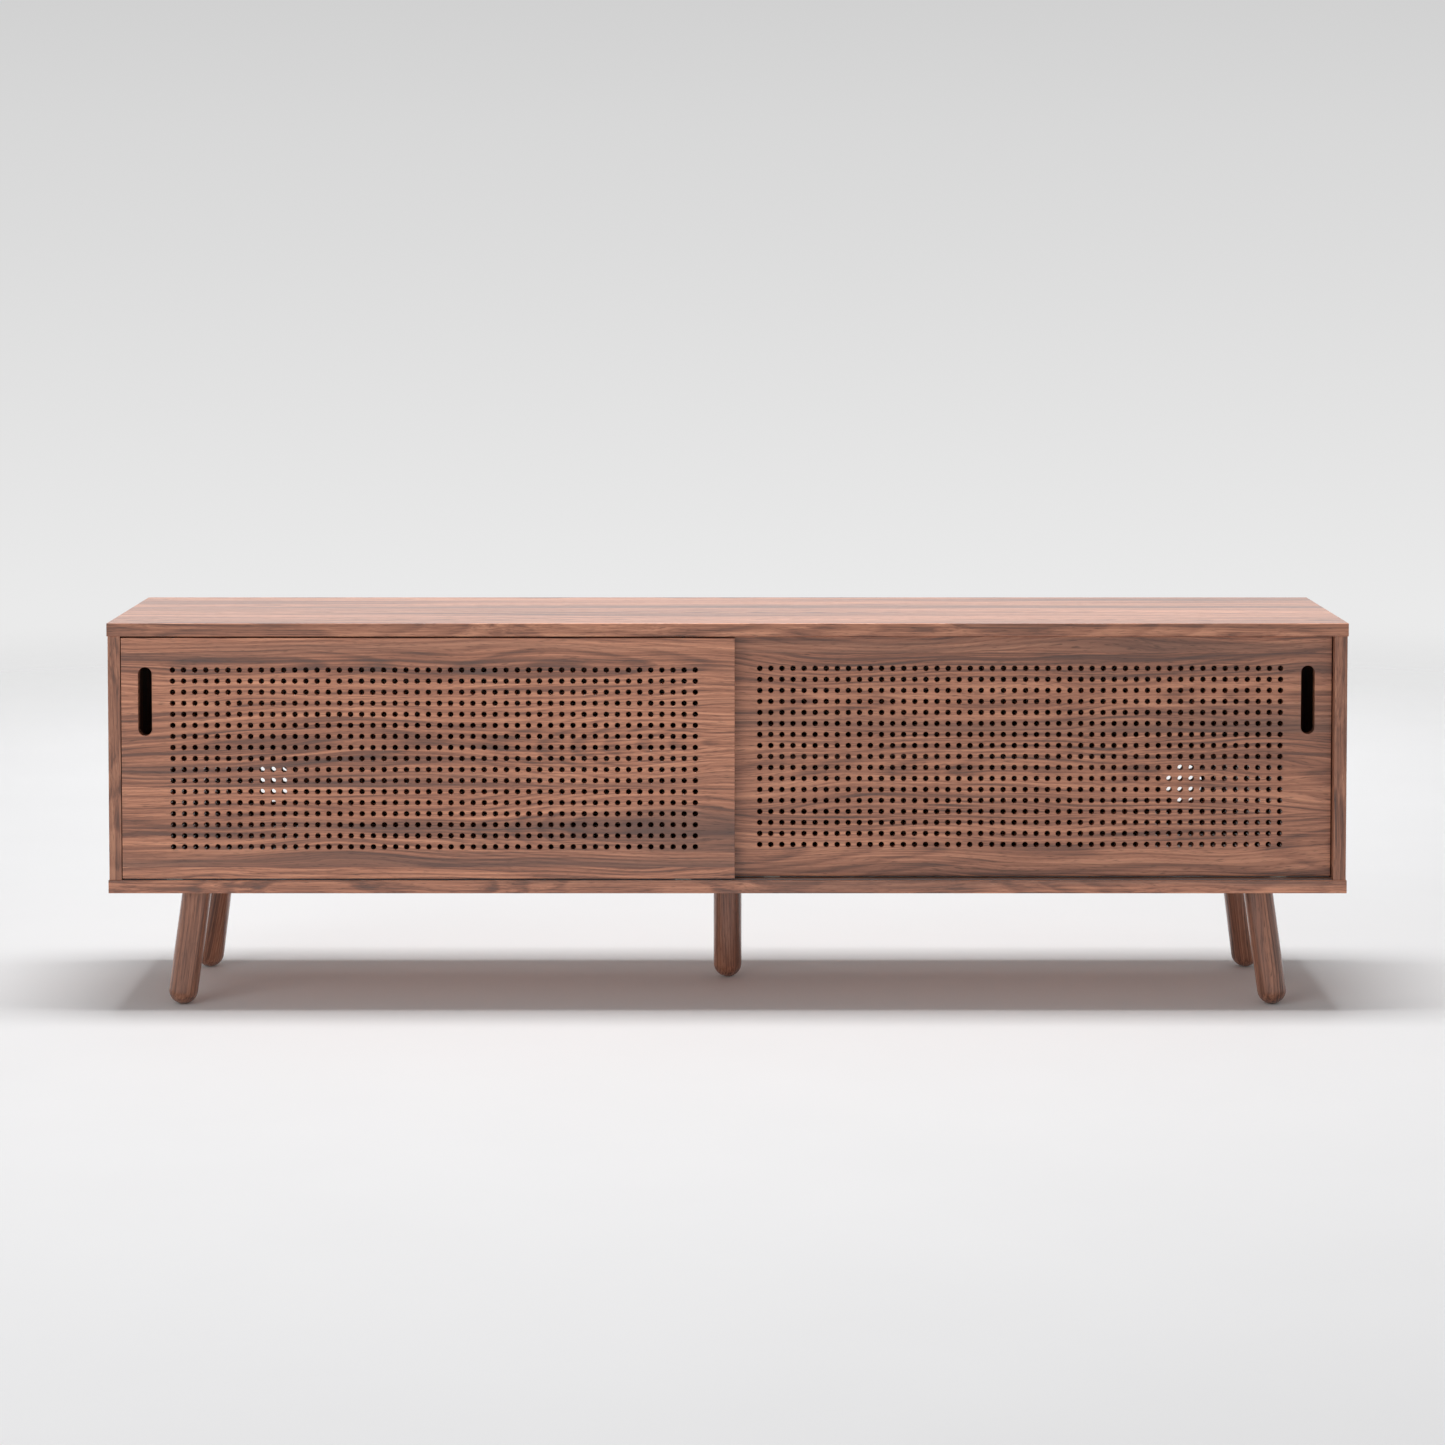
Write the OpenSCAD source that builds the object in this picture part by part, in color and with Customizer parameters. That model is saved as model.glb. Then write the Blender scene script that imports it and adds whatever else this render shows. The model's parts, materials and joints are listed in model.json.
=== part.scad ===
// Media cabinet with two perforated sliding doors on five turned legs.
// Millimetres. The origin is on the floor, under the middle of the cabinet:
// +X to the right, +Y to the back, +Z up. The doors are at the front, -Y.

/* [Cabinet] */
// Overall width, across the ends of the top and bottom panels
cabinet_w = 1800; // [1400:1:2300]
// Overall depth, from front edge to back edge
cabinet_d = 400; // [340:1:560]
// Height of the box, from its underside to the top surface
box_h = 394; // [300:1:560]
// Height of the underside above the floor
leg_h = 173; // [110:1:260]

/* [Panels] */
// Thickness of the top and bottom panels
panel_t = 19; // [16:0.5:25]
// Thickness of the side panels
side_t = 18; // [16:0.5:25]
// Thickness of the centre divider
divider_t = 18; // [16:0.5:25]
// How far the top and bottom panels stand past the side panels
reveal = 1.3; // [0:0.1:5]
// Radius of the long edges of the top and bottom panels
arris_r = 1; // [0.5:0.1:3]
// Thickness of the back panels
back_t = 6; // [4:0.5:9]
// Width of the rebate that a back panel lies in
rebate_w = 9; // [6:0.5:10]
// Depth of that rebate
rebate_d = 8; // [6:0.5:12]
// Diameter of the cable port in each back panel
port_d = 60; // [30:1:80]
// Distance of a cable port's centre from the cabinet's end
port_inset = 192; // [120:1:400]
// Height of a cable port's centre above the bottom panel
port_rise = 86; // [50:1:100]

/* [Doors] */
// Thickness of a door
door_t = 18; // [16:0.5:22]
// How far the front door stands behind the front edges
door_setback = 1.5; // [1:0.5:6]
// Gap between the front door and the rear door
door_gap = 4; // [2:0.5:8]
// Gap above a door
door_gap_top = 2.5; // [2:0.1:4]
// Gap below a door
door_gap_bottom = 2.3; // [2:0.1:4]
// Gap between a closed door and its side panel
door_gap_side = 1.1; // [1:0.1:4]
// How far the closed doors overlap in the middle
door_overlap = 20.8; // [10:0.1:60]
// Diameter of the holes in a door
hole_d = 8; // [4:0.5:10]
// Distance between the centres of the holes
hole_pitch = 16.13; // [13:0.01:30]
// Distance of the first column of holes from the door's outer edge
hole_margin = 74.6; // [65:0.1:120]
// Least distance of the last column from the door's inner edge
hole_margin_inner = 50; // [40:1:90]
// Least distance of the top and bottom rows from the door's edges
hole_margin_rows = 40; // [38:1:70]
// Width of the pull slot
slot_w = 20; // [12:1:24]
// Length of the pull slot
slot_l = 100; // [60:1:140]
// Distance of the pull slot's centre line from the door's outer edge
slot_inset = 34.6; // [25:0.1:40]

/* [Door running gear] */
// Distance of each roller and guide from the door's edge
roller_inset = 75; // [60:1:120]
// Diameter of a roller wheel
wheel_d = 26; // [20:1:30]
// Width of a roller wheel
wheel_w = 5; // [4:0.5:5.5]
// Diameter of a roller axle
axle_d = 4; // [3:0.5:6]
// Radial clearance of a wheel on its axle
axle_clearance = 0.06; // [0.01:0.01:0.1]
// Diameter of a guide pin
guide_pin_d = 5; // [3:0.5:5.5]
// Width of a track's channel
channel_w = 6; // [6:0.5:8]
// Depth of a track's channel
channel_d = 7; // [6:0.5:8]
// Wall of a track
track_wall = 2; // [1.5:0.5:2.5]

/* [Shelves] */
// Thickness of a shelf
shelf_t = 18; // [16:0.5:25]
// Height of a shelf's underside above the bottom panel
shelf_rise = 163; // [110:1:200]
// Gap between a shelf and the back panel, for cables
shelf_back_gap = 14; // [5:1:60]
// Diameter of the shelf pins
pin_d = 5; // [4:0.5:6]
// Distance between the pin holes of a row
pin_pitch = 32; // [20:1:32]

/* [Legs] */
// Diameter of a leg
leg_d = 42.5; // [30:0.5:52]
// Distance of a corner foot's centre from the cabinet's end
foot_inset_x = 100; // [80:1:300]
// Distance of a corner foot's centre from the cabinet's front or back edge
foot_inset_y = 56.7; // [52:0.1:100]
// Splay of a corner leg along the cabinet, in degrees
leg_splay_x = 7.7; // [0:0.1:12]
// Splay of a corner leg to the front or back, in degrees
leg_splay_y = 4.4; // [0:0.1:8]
// Distance of the centre leg behind the middle of the cabinet
centre_leg_back = 63; // [-60:1:90]
// Thickness of a leg plate
plate_t = 2.5; // [2:0.5:4]
// Diameter of a leg's hanger bolt
bolt_d = 8; // [6:1:10]

/* [Hidden] */
$fn = 64;

// General values
cut = 1;             // how far a cut runs past the face it opens
fit = 0.05;          // radial clearance of a fixed pin, screw or dowel in its hole
seat = 0.1;          // clearance round a piece let into a pocket

// Heights
floor_z = leg_h + panel_t;               // upper face of the bottom panel
top_z = leg_h + box_h;                   // top surface
ceiling_z = top_z - panel_t;             // underside of the top panel
inner_h = ceiling_z - floor_z;

// Widths: half the cabinet, to each face of a side panel
end_x = cabinet_w / 2;
side_outer_x = end_x - reveal;
inner_x = side_outer_x - side_t;

// Depths
front_y = -cabinet_d / 2;
back_y = cabinet_d / 2;
side_front_y = front_y + reveal;
side_back_y = back_y - reveal;
rebate_y = back_y - rebate_d;            // front face of the back panels
front_door_y = front_y + door_setback;
rear_door_y = front_door_y + door_t + door_gap;
divider_y = rear_door_y + door_t + 8;    // front edge of the divider
shelf_y = divider_y + 5;

// Doors
door_edge_x = inner_x - door_gap_side;   // a closed door's outer edge
door_w = door_edge_x + door_overlap / 2;
door_z = floor_z + door_gap_bottom;
door_h = inner_h - door_gap_bottom - door_gap_top;
hole_cols = 1 + floor((door_w - hole_margin - hole_margin_inner) / hole_pitch);
hole_rows = 1 + floor((door_h - 2 * hole_margin_rows) / hole_pitch);
hole_field_h = (hole_rows - 1) * hole_pitch;
hole_z = (door_h - hole_field_h) / 2;
slot_top = hole_z + hole_field_h + hole_d / 2;   // level with the top row's upper edges

// Running gear, along a door and across it
gear_xs = [roller_inset, door_w - roller_inset];
wheel_lift = 0.3;                        // a wheel's height above the track
track_w = channel_w + 2 * track_wall;
track_h = channel_d + track_wall;
track_l = 2 * inner_x - 1;
wheel_z = floor_z - channel_d + wheel_lift + wheel_d / 2 - door_z;  // above the door's lower edge
housing_w = 12;
housing_l = wheel_d + 14;
housing_h = wheel_z + wheel_d / 2 + 3;
flange_l = housing_l + 24;
flange_t = 2;
gear_screw_x = (housing_l + flange_l) / 4;
guide_plug_d = 10;
guide_plug_l = 22;
guide_pin_l = door_gap_top + channel_d - 1.5;
stop_l = 30;
stop_h = 5;

// Screws: [shank diameter, length, head diameter, head height]
GEAR_SCREW = [3, 14, 5.6, 1.3];
TRACK_SCREW = [3, panel_t - channel_d - 3, 5.4, 1.2];
PLATE_SCREW = [3.5, 14, 6.4, 1.8];
BACK_SCREW = [3, 16, 6, 1.8];

// Cam joints and dowels, between the upright panels and the top and bottom
cam_d = 15;
cam_reach = 3.5;                         // how far a cam goes past its upright's middle
cam_edge = 24;                           // from a panel's end to its cam's axis
cam_bolt_d = 7;
cam_thread_d = 5;
cam_thread_l = 11;
dowel_d = 8;
dowel_in_panel = 11;
dowel_in_upright = 19;
cam_ys = [divider_y + 35, rebate_y - 42];
dowel_ys = [cam_ys[0] + 50, cam_ys[1] - 50];

// Each upright: its middle plane, the side that its cams go in from, and its thickness
UPRIGHTS = [
  [-(side_outer_x + inner_x) / 2, 1, side_t],
  [0, 1, divider_t],
  [(side_outer_x + inner_x) / 2, -1, side_t]
];

// Shelves and pins
shelf_gap = 2;                           // from a shelf's end to a panel
pin_hole_depth = divider_t / 2 - 0.5;
pin_grip = pin_hole_depth - 0.5;
pin_flange_t = 1;
pin_peg_l = 8;
pin_ys = [shelf_y + 50, rebate_y - 62];
pin_z = floor_z + shelf_rise - pin_d / 2;
PIN_STEPS = [-2 : 2];
// Each bay: the left panel's face and the right panel's face
BAYS = [[-inner_x, -divider_t / 2], [divider_t / 2, inner_x]];

// Legs: where each foot's centre is, and the way its top leans in
foot_r = leg_d / 2;
LEG_SIGNS = [[-1, -1], [1, -1], [-1, 1], [1, 1], [0, 0]];
lean_x = tan(leg_splay_x);
lean_y = tan(leg_splay_y);
function foot(i) = i == 4 ? [0, centre_leg_back, foot_r]
  : [LEG_SIGNS[i][0] * (end_x - foot_inset_x), LEG_SIGNS[i][1] * (back_y - foot_inset_y), foot_r];
function lean(i) = [-LEG_SIGNS[i][0] * lean_x, -LEG_SIGNS[i][1] * lean_y, 1];
function leg_top(i) = foot(i) + (leg_h - foot_r) * lean(i);
function tilt(i) = atan(norm([lean(i)[0], lean(i)[1]]));
function heading(i) = atan2(lean(i)[1], lean(i)[0]);
plate_d = leg_d + 21.5;
plate_screw_r = leg_d / 2 + 5;
plate_screw_turn = 45;
collar_d = bolt_d + 4;
collar_h = 8;
pocket_d = collar_d + 6;
pocket_depth = collar_h + 3;
bolt_in_leg = 35;
bore_turn = 70;                          // a bore's seam, away from the leg's own

// Back panel screws: their distance from a bay's faces, and how many along it
back_screw_edge = rebate_w / 2;
back_screws_along = 5;
back_screws_up = 2;
back_pilot = 11;
track_screws_each = 5;

// Colours
walnut = "#7a5647";
walnut_dark = "#6c4a3c";
aluminium = "#b9bcc0";
steel = "#9a9da1";
zinc = "#c3c6c8";
nylon_black = "#26272a";
nylon_white = "#e4e2dc";
rubber_black = "#1d1d1e";
beech = "#d3ae80";

// ---------- Shared shapes ----------

// Carries an outline in Y and Z along X, centred
module along_x(length) {
  rotate([90, 0, 90])
    translate([0, 0, -length / 2])
      linear_extrude(length) children();
}

// A board's end section with rounded corners, centred in Y, with its foot at 0
module rounded_section(width, height, r) {
  translate([-width / 2 + r, 0]) square([width - 2 * r, height]);
  translate([-width / 2, r]) square([width, height - 2 * r]);
  for (x = [r - width / 2, width / 2 - r], y = [r, height - r])
    translate([x, y]) circle(r);
}

// A block from one corner to the opposite one
module block(low, high) {
  translate(low) cube(high - low);
}

// A countersunk screw pointing up, its head's face at 0
module countersunk(screw) {
  rotate_extrude() polygon([
    [0, 0], [screw[2] / 2, 0], [screw[0] / 2, screw[3]],
    [screw[0] / 2, screw[1] - 1.5], [0, screw[1]]
  ]);
}

// The hole for that screw: its countersink, and its shank's length
module countersunk_hole(screw) {
  translate([0, 0, -cut]) cylinder(d = screw[0] + 2 * fit, h = screw[1] + cut + 0.5);
  rotate_extrude() polygon([
    [0, -0.1], [screw[2] / 2 + 0.15, -0.1], [screw[2] / 2 + 0.15, 0],
    [screw[0] / 2 + fit, screw[3] + 0.1], [0, screw[3] + 0.1]
  ]);
}

// Places children at both rollers or guides of a door
module at_gear() {
  for (x = gear_xs) translate([x, door_t / 2, 0]) children();
}

// A door's own frame: X from its outer edge inwards, Y from its front face back
module in_left_door() {
  translate([-door_edge_x, front_door_y, door_z]) children();
}

module in_right_door() {
  mirror([1, 0, 0]) translate([-door_edge_x, rear_door_y, door_z]) children();
}

// Places children at a joint of an upright, with Z from the joint into the outer panel
module at_joints(ys) {
  for (upright = UPRIGHTS, y = ys) {
    translate([upright[0], y, ceiling_z]) children();
    translate([upright[0], y, floor_z]) mirror([0, 0, 1]) children();
  }
}

// ---------- Top, bottom and upright panels ----------

module panel_board() {
  along_x(cabinet_w) rounded_section(cabinet_d, panel_t, arris_r);
}

// Rebate for the back panels along a panel whose inner face is at z
module panel_rebate(z) {
  block([-inner_x - rebate_w, rebate_y, z - rebate_w], [inner_x + rebate_w, back_y + cut, z + rebate_w]);
}

module track_grooves(z) {
  for (y = [front_door_y, rear_door_y])
    block([-inner_x, y + (door_t - track_w) / 2 - seat, z - track_h],
          [inner_x, y + (door_t + track_w) / 2 + seat, z + track_h]);
}

module joint_holes() {
  at_joints(cam_ys)
    translate([0, 0, -cut]) cylinder(d = cam_thread_d + 2 * fit, h = cut + cam_thread_l + 0.5);
  at_joints(dowel_ys)
    translate([0, 0, -cut]) cylinder(d = dowel_d + 2 * fit, h = cut + dowel_in_panel + 0.5);
}

module top_panel() {
  color(walnut) difference() {
    translate([0, 0, ceiling_z]) panel_board();
    panel_rebate(ceiling_z);
    track_grooves(ceiling_z);
    joint_holes();
    back_pilots();
    at_track_screws(true) countersunk_hole(TRACK_SCREW);
  }
}

module bottom_panel() {
  color(walnut) difference() {
    translate([0, 0, leg_h]) panel_board();
    panel_rebate(floor_z);
    track_grooves(floor_z);
    joint_holes();
    back_pilots();
    at_track_screws(false) countersunk_hole(TRACK_SCREW);
    for (i = [0 : 4]) translate(leg_top(i)) {
      translate([0, 0, -cut]) cylinder(d = pocket_d, h = cut + pocket_depth);
      at_plate_screws() countersunk_hole(PLATE_SCREW);
    }
  }
}

function cam_depth(upright) = upright[2] / 2 + cam_reach;

// Places children at an upright's cams, with Z out to its face and Y up
module at_cams(upright, upper) {
  for (y = cam_ys)
    translate([upright[0] - upright[1] * cam_reach, y,
               upper == 1 ? ceiling_z - cam_edge : floor_z + cam_edge])
      rotate([90, 0, upright[1] * 90]) children();
}

// The holes in an upright: cams, their bolts, dowels and shelf pins
module upright_holes() {
  for (upright = UPRIGHTS, upper = [0, 1])
    at_cams(upright, upper) cylinder(d = cam_d + 2 * fit, h = cam_depth(upright) + cut);
  at_joints(cam_ys)
    translate([0, 0, -cam_edge]) cylinder(d = cam_bolt_d + 2 * fit, h = cam_edge + cut);
  at_joints(dowel_ys)
    translate([0, 0, -dowel_in_upright - 0.5]) cylinder(d = dowel_d + 2 * fit, h = dowel_in_upright + cut);
  for (bay = BAYS, side = [0, 1], y = pin_ys, step = PIN_STEPS)
    translate([bay[side], y, pin_z + step * pin_pitch])
      rotate([0, side == 0 ? -90 : 90, 0])
        translate([0, 0, -cut]) cylinder(d = pin_d + 2 * fit, h = cut + pin_hole_depth);
}

module side_panel(sign) {
  color(walnut_dark) difference() {
    block([min(sign * inner_x, sign * side_outer_x), side_front_y, floor_z],
          [max(sign * inner_x, sign * side_outer_x), side_back_y, ceiling_z]);
    block([-inner_x - rebate_w, rebate_y, floor_z - cut],
          [inner_x + rebate_w, back_y + cut, ceiling_z + cut]);
    upright_holes();
    back_pilots();
  }
}

module left_side_panel() { side_panel(-1); }

module right_side_panel() { side_panel(1); }

module centre_divider() {
  color(walnut_dark) difference() {
    block([-divider_t / 2, divider_y, floor_z], [divider_t / 2, rebate_y, ceiling_z]);
    upright_holes();
    back_pilots();
  }
}

// ---------- Back panels and their screws ----------

// Where the screws of one back panel are, as [x, z]
function back_screws(bay) = let (
    low_x = bay[0] - (bay[0] < -divider_t ? back_screw_edge : divider_t / 4),
    high_x = bay[1] + (bay[1] > divider_t ? back_screw_edge : divider_t / 4),
    low_z = floor_z - back_screw_edge,
    high_z = ceiling_z + back_screw_edge
  ) concat(
    [for (k = [0 : back_screws_along - 1], z = [low_z, high_z])
      [bay[0] + (bay[1] - bay[0]) * (k + 0.5) / back_screws_along, z]],
    [for (k = [0 : back_screws_up - 1], x = [low_x, high_x])
      [x, floor_z + inner_h * (k + 0.5) / back_screws_up]]
  );

// Places children at every back screw, with Z forwards from the panel's rear face
module at_back_screws() {
  for (bay = BAYS, spot = back_screws(bay))
    translate([spot[0], rebate_y + back_t, spot[1]]) rotate([90, 0, 0]) children();
}

module back_pilots() {
  at_back_screws() cylinder(d = BACK_SCREW[0] + 2 * fit, h = back_t + back_pilot);
}

// One back panel, its inner edge half a millimetre from the middle
module back_panel(sign) {
  edge = rebate_w - 0.5;
  color(walnut_dark) difference() {
    block([min(sign * 0.5, sign * (inner_x + edge)), rebate_y, floor_z - edge],
          [max(sign * 0.5, sign * (inner_x + edge)), rebate_y + back_t, ceiling_z + edge]);
    translate([sign * (end_x - port_inset), rebate_y - cut, floor_z + port_rise])
      rotate([-90, 0, 0]) cylinder(d = port_d, h = back_t + 2 * cut);
    at_back_screws()
      translate([0, 0, -cut]) cylinder(d = BACK_SCREW[0] + 4 * fit, h = back_t + 2 * cut);
  }
}

module left_back_panel() { back_panel(-1); }

module right_back_panel() { back_panel(1); }

module back_panel_screws() {
  color(zinc) at_back_screws() {
    cylinder(d = BACK_SCREW[0], h = BACK_SCREW[1]);
    translate([0, 0, -BACK_SCREW[3]]) cylinder(d = BACK_SCREW[2], h = BACK_SCREW[3]);
  }
}

// ---------- Shelves ----------

module shelf(bay) {
  color(walnut_dark)
    block([bay[0] + shelf_gap, shelf_y, floor_z + shelf_rise],
          [bay[1] - shelf_gap, rebate_y - shelf_back_gap, floor_z + shelf_rise + shelf_t]);
}

module left_shelf() { shelf(BAYS[0]); }

module right_shelf() { shelf(BAYS[1]); }

// A pin pointing out of its panel, with a thin flange against the panel
module shelf_pin() {
  translate([0, 0, -pin_grip]) cylinder(d = pin_d, h = pin_grip + pin_peg_l);
  cylinder(d = pin_d + 3, h = pin_flange_t);
}

module shelf_pins() {
  color(zinc)
    for (bay = BAYS, side = [0, 1], y = pin_ys)
      translate([bay[side], y, pin_z]) rotate([0, side == 0 ? 90 : -90, 0]) shelf_pin();
}

// ---------- Doors ----------

module slot_outline() {
  square([slot_w, slot_l - slot_w], center = true);
  for (end = [-1, 1]) translate([0, end * (slot_l - slot_w) / 2]) circle(d = slot_w);
}

module door_outline() {
  difference() {
    square([door_w, door_h]);
    for (col = [0 : hole_cols - 1], row = [0 : hole_rows - 1])
      translate([hole_margin + col * hole_pitch, hole_z + row * hole_pitch]) circle(d = hole_d, $fn = 24);
    translate([slot_inset, slot_top - slot_l / 2]) slot_outline();
  }
}

module door() {
  color(walnut) difference() {
    translate([0, door_t, 0]) rotate([90, 0, 0]) linear_extrude(door_t) door_outline();
    at_gear() {
      block([-housing_l / 2 - seat, -housing_w / 2 - seat, -cut],
            [housing_l / 2 + seat, housing_w / 2 + seat, housing_h + seat]);
      block([-flange_l / 2 - seat, -housing_w / 2 - seat, -cut],
            [flange_l / 2 + seat, housing_w / 2 + seat, flange_t]);
      at_gear_screws() countersunk_hole(GEAR_SCREW);
      translate([0, 0, door_h - guide_plug_l - 0.5])
        cylinder(d = guide_plug_d + 2 * fit, h = guide_plug_l + 0.5 + cut);
    }
  }
}

module left_door() { in_left_door() door(); }

module right_door() { in_right_door() door(); }

// ---------- Door running gear ----------

module at_gear_screws() {
  for (side = [-1, 1]) translate([side * gear_screw_x, 0, 0]) children();
}

// Two housings let into the door's lower edge, each with a slot for its wheel
module roller_housings() {
  color(nylon_black) at_gear() difference() {
    union() {
      block([-housing_l / 2, -housing_w / 2, 0], [housing_l / 2, housing_w / 2, housing_h]);
      block([-flange_l / 2, -housing_w / 2, 0], [flange_l / 2, housing_w / 2, flange_t]);
    }
    block([-wheel_d / 2 - 2, -wheel_w / 2 - 0.5, -cut],
          [wheel_d / 2 + 2, wheel_w / 2 + 0.5, wheel_z + wheel_d / 2 + 1.5]);
    translate([0, 0, wheel_z]) rotate([90, 0, 0])
      cylinder(d = axle_d + 2 * fit, h = housing_w + 2 * cut, center = true);
    at_gear_screws() countersunk_hole(GEAR_SCREW);
  }
}

module roller_axles() {
  color(steel) at_gear() translate([0, 0, wheel_z]) rotate([90, 0, 0])
    cylinder(d = axle_d, h = housing_w, center = true);
}

module gear_screws() {
  color(zinc) at_gear() at_gear_screws() countersunk(GEAR_SCREW);
}

// A wheel with a hub between two shallow recesses
module roller_wheel(x) {
  hub_d = axle_d + 6;
  rim_d = wheel_d - 6;
  color(nylon_white) translate([x, door_t / 2, wheel_z]) rotate([90, 0, 0]) difference() {
    cylinder(d = wheel_d, h = wheel_w, center = true);
    cylinder(d = axle_d + 2 * axle_clearance, h = wheel_w + 2 * cut, center = true);
    for (side = [-1, 1]) translate([0, 0, side * wheel_w / 2]) difference() {
      cylinder(d = rim_d, h = 2, center = true);
      cylinder(d = hub_d, h = 3, center = true);
    }
  }
}

// Two plugs in the door's upper edge, each with a pin in the channel above
module top_guides() {
  color(nylon_black) at_gear() {
    translate([0, 0, door_h - guide_plug_l]) cylinder(d = guide_plug_d, h = guide_plug_l);
    translate([0, 0, door_h - cut]) cylinder(d = guide_pin_d, h = cut + guide_pin_l);
  }
}

module left_door_roller_housings() { in_left_door() roller_housings(); }

module left_door_roller_axles() { in_left_door() roller_axles(); }

module left_door_roller_screws() { in_left_door() gear_screws(); }

module left_door_top_guides() { in_left_door() top_guides(); }

module left_door_outer_wheel() { in_left_door() roller_wheel(gear_xs[0]); }

module left_door_inner_wheel() { in_left_door() roller_wheel(gear_xs[1]); }

module right_door_roller_housings() { in_right_door() roller_housings(); }

module right_door_roller_axles() { in_right_door() roller_axles(); }

module right_door_roller_screws() { in_right_door() gear_screws(); }

module right_door_top_guides() { in_right_door() top_guides(); }

module right_door_outer_wheel() { in_right_door() roller_wheel(gear_xs[0]); }

module right_door_inner_wheel() { in_right_door() roller_wheel(gear_xs[1]); }

// ---------- Tracks ----------

// A channel open upwards, its rim at 0
module track_section() {
  difference() {
    translate([-track_w / 2, -track_h]) square([track_w, track_h]);
    translate([-channel_w / 2, -channel_d]) square([channel_w, channel_d + cut]);
  }
}

// Places children at a track's screws, with Z into the panel
module at_track_screws(upper) {
  for (door_y = [front_door_y, rear_door_y]) at_one_track(door_y, upper) children();
}

module at_one_track(door_y, upper) {
  for (k = [0 : track_screws_each - 1])
    translate([track_l * ((k + 0.5) / track_screws_each - 0.5), door_y + door_t / 2,
               upper ? ceiling_z + channel_d : floor_z - channel_d])
      rotate([upper ? 0 : 180, 0, 0]) children();
}

module track(door_y, upper) {
  color(aluminium) difference() {
    translate([0, door_y + door_t / 2, upper ? ceiling_z : floor_z])
      mirror([0, 0, upper ? 1 : 0]) along_x(track_l) track_section();
    at_one_track(door_y, upper) countersunk_hole(TRACK_SCREW);
  }
}

module front_top_track() { track(front_door_y, true); }

module rear_top_track() { track(rear_door_y, true); }

module front_bottom_track() { track(front_door_y, false); }

module rear_bottom_track() { track(rear_door_y, false); }

module track_screws() {
  color(zinc) {
    at_track_screws(true) countersunk(TRACK_SCREW);
    at_track_screws(false) countersunk(TRACK_SCREW);
  }
}

// Rubber blocks in the bottom channels, which the outermost wheels meet
module track_stops() {
  wheel_x = door_edge_x - roller_inset;
  below_axle = wheel_lift + wheel_d / 2 - stop_h;
  reach = sqrt(pow(wheel_d / 2, 2) - pow(below_axle, 2)) + 0.4;
  stop_x = wheel_x + reach + stop_l / 2;
  color(rubber_black)
    for (door_y = [front_door_y, rear_door_y], side = [-1, 1])
      translate([side * stop_x, door_y + door_t / 2, floor_z - channel_d + stop_h / 2])
        cube([stop_l, channel_w - 0.4, stop_h], center = true);
}

// ---------- Legs ----------

// Places children on a leg's axis. The turn about the axis keeps the seam of a
// round shape off the leg's steepest line.
module on_leg_axis(i, turn = 30) {
  translate(foot(i)) rotate([0, tilt(i), heading(i)]) rotate([0, 0, turn]) children();
}

// Along the leg's axis, from the foot's centre to the underside of its plate
function leg_reach(i) = (leg_h - plate_t - foot_r) / cos(tilt(i));

module leg(i) {
  color(walnut) difference() {
    on_leg_axis(i) {
      sphere(r = foot_r);
      cylinder(r = foot_r, h = leg_h);
    }
    translate([0, 0, leg_h - plate_t]) translate(-[cabinet_w, cabinet_d, 0])
      cube([2 * cabinet_w, 2 * cabinet_d, leg_h]);
    on_leg_axis(i, bore_turn) translate([0, 0, leg_reach(i) - bolt_in_leg - 1])
      cylinder(d = bolt_d + 2 * fit, h = bolt_in_leg + leg_d);
  }
}

module at_plate_screws() {
  for (turn = [0 : 90 : 270])
    rotate([0, 0, turn + plate_screw_turn]) translate([plate_screw_r, 0, -plate_t]) children();
}

// A round plate with a threaded collar that leans with the leg
module leg_plate(i) {
  color(steel) difference() {
    union() {
      translate(leg_top(i) - [0, 0, plate_t]) cylinder(d = plate_d, h = plate_t);
      intersection() {
        on_leg_axis(i) cylinder(d = collar_d, h = leg_reach(i) + plate_t + collar_h);
        translate(leg_top(i) - [0, 0, plate_t / 2]) cylinder(d = plate_d, h = plate_t + 2 * collar_h);
      }
    }
    on_leg_axis(i, bore_turn) translate([0, 0, leg_reach(i) - leg_d])
      cylinder(d = bolt_d + 2 * fit, h = 2 * leg_d);
    translate(leg_top(i)) at_plate_screws() countersunk_hole(PLATE_SCREW);
  }
}

module front_left_leg() { leg(0); }

module front_right_leg() { leg(1); }

module back_left_leg() { leg(2); }

module back_right_leg() { leg(3); }

module centre_leg() { leg(4); }

module front_left_leg_plate() { leg_plate(0); }

module front_right_leg_plate() { leg_plate(1); }

module back_left_leg_plate() { leg_plate(2); }

module back_right_leg_plate() { leg_plate(3); }

module centre_leg_plate() { leg_plate(4); }

module leg_bolts() {
  color(zinc) for (i = [0 : 4])
    on_leg_axis(i) translate([0, 0, leg_reach(i) - bolt_in_leg])
      cylinder(d = bolt_d, h = bolt_in_leg + plate_t + collar_h);
}

module leg_plate_screws() {
  color(zinc) for (i = [0 : 4])
    translate(leg_top(i)) at_plate_screws() countersunk(PLATE_SCREW);
}

// ---------- Cam fittings, bolts and dowels ----------

// A round cam with a mouth for the bolt's head and a cross recess in its face
module cam(height, upper) {
  mouth_w = cam_bolt_d + 0.6;
  mouth_past = 5;
  recess = 1.5;
  difference() {
    cylinder(d = cam_d, h = height);
    translate([-mouth_w / 2, upper == 1 ? -mouth_past : -cam_d, -cut])
      cube([mouth_w, cam_d + mouth_past, cut + 2 * cam_reach + recess]);
    for (turn = [0, 90]) rotate([0, 0, turn])
      translate([-3.5, -0.6, height - recess]) cube([7, 1.2, recess + cut]);
  }
}

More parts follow.
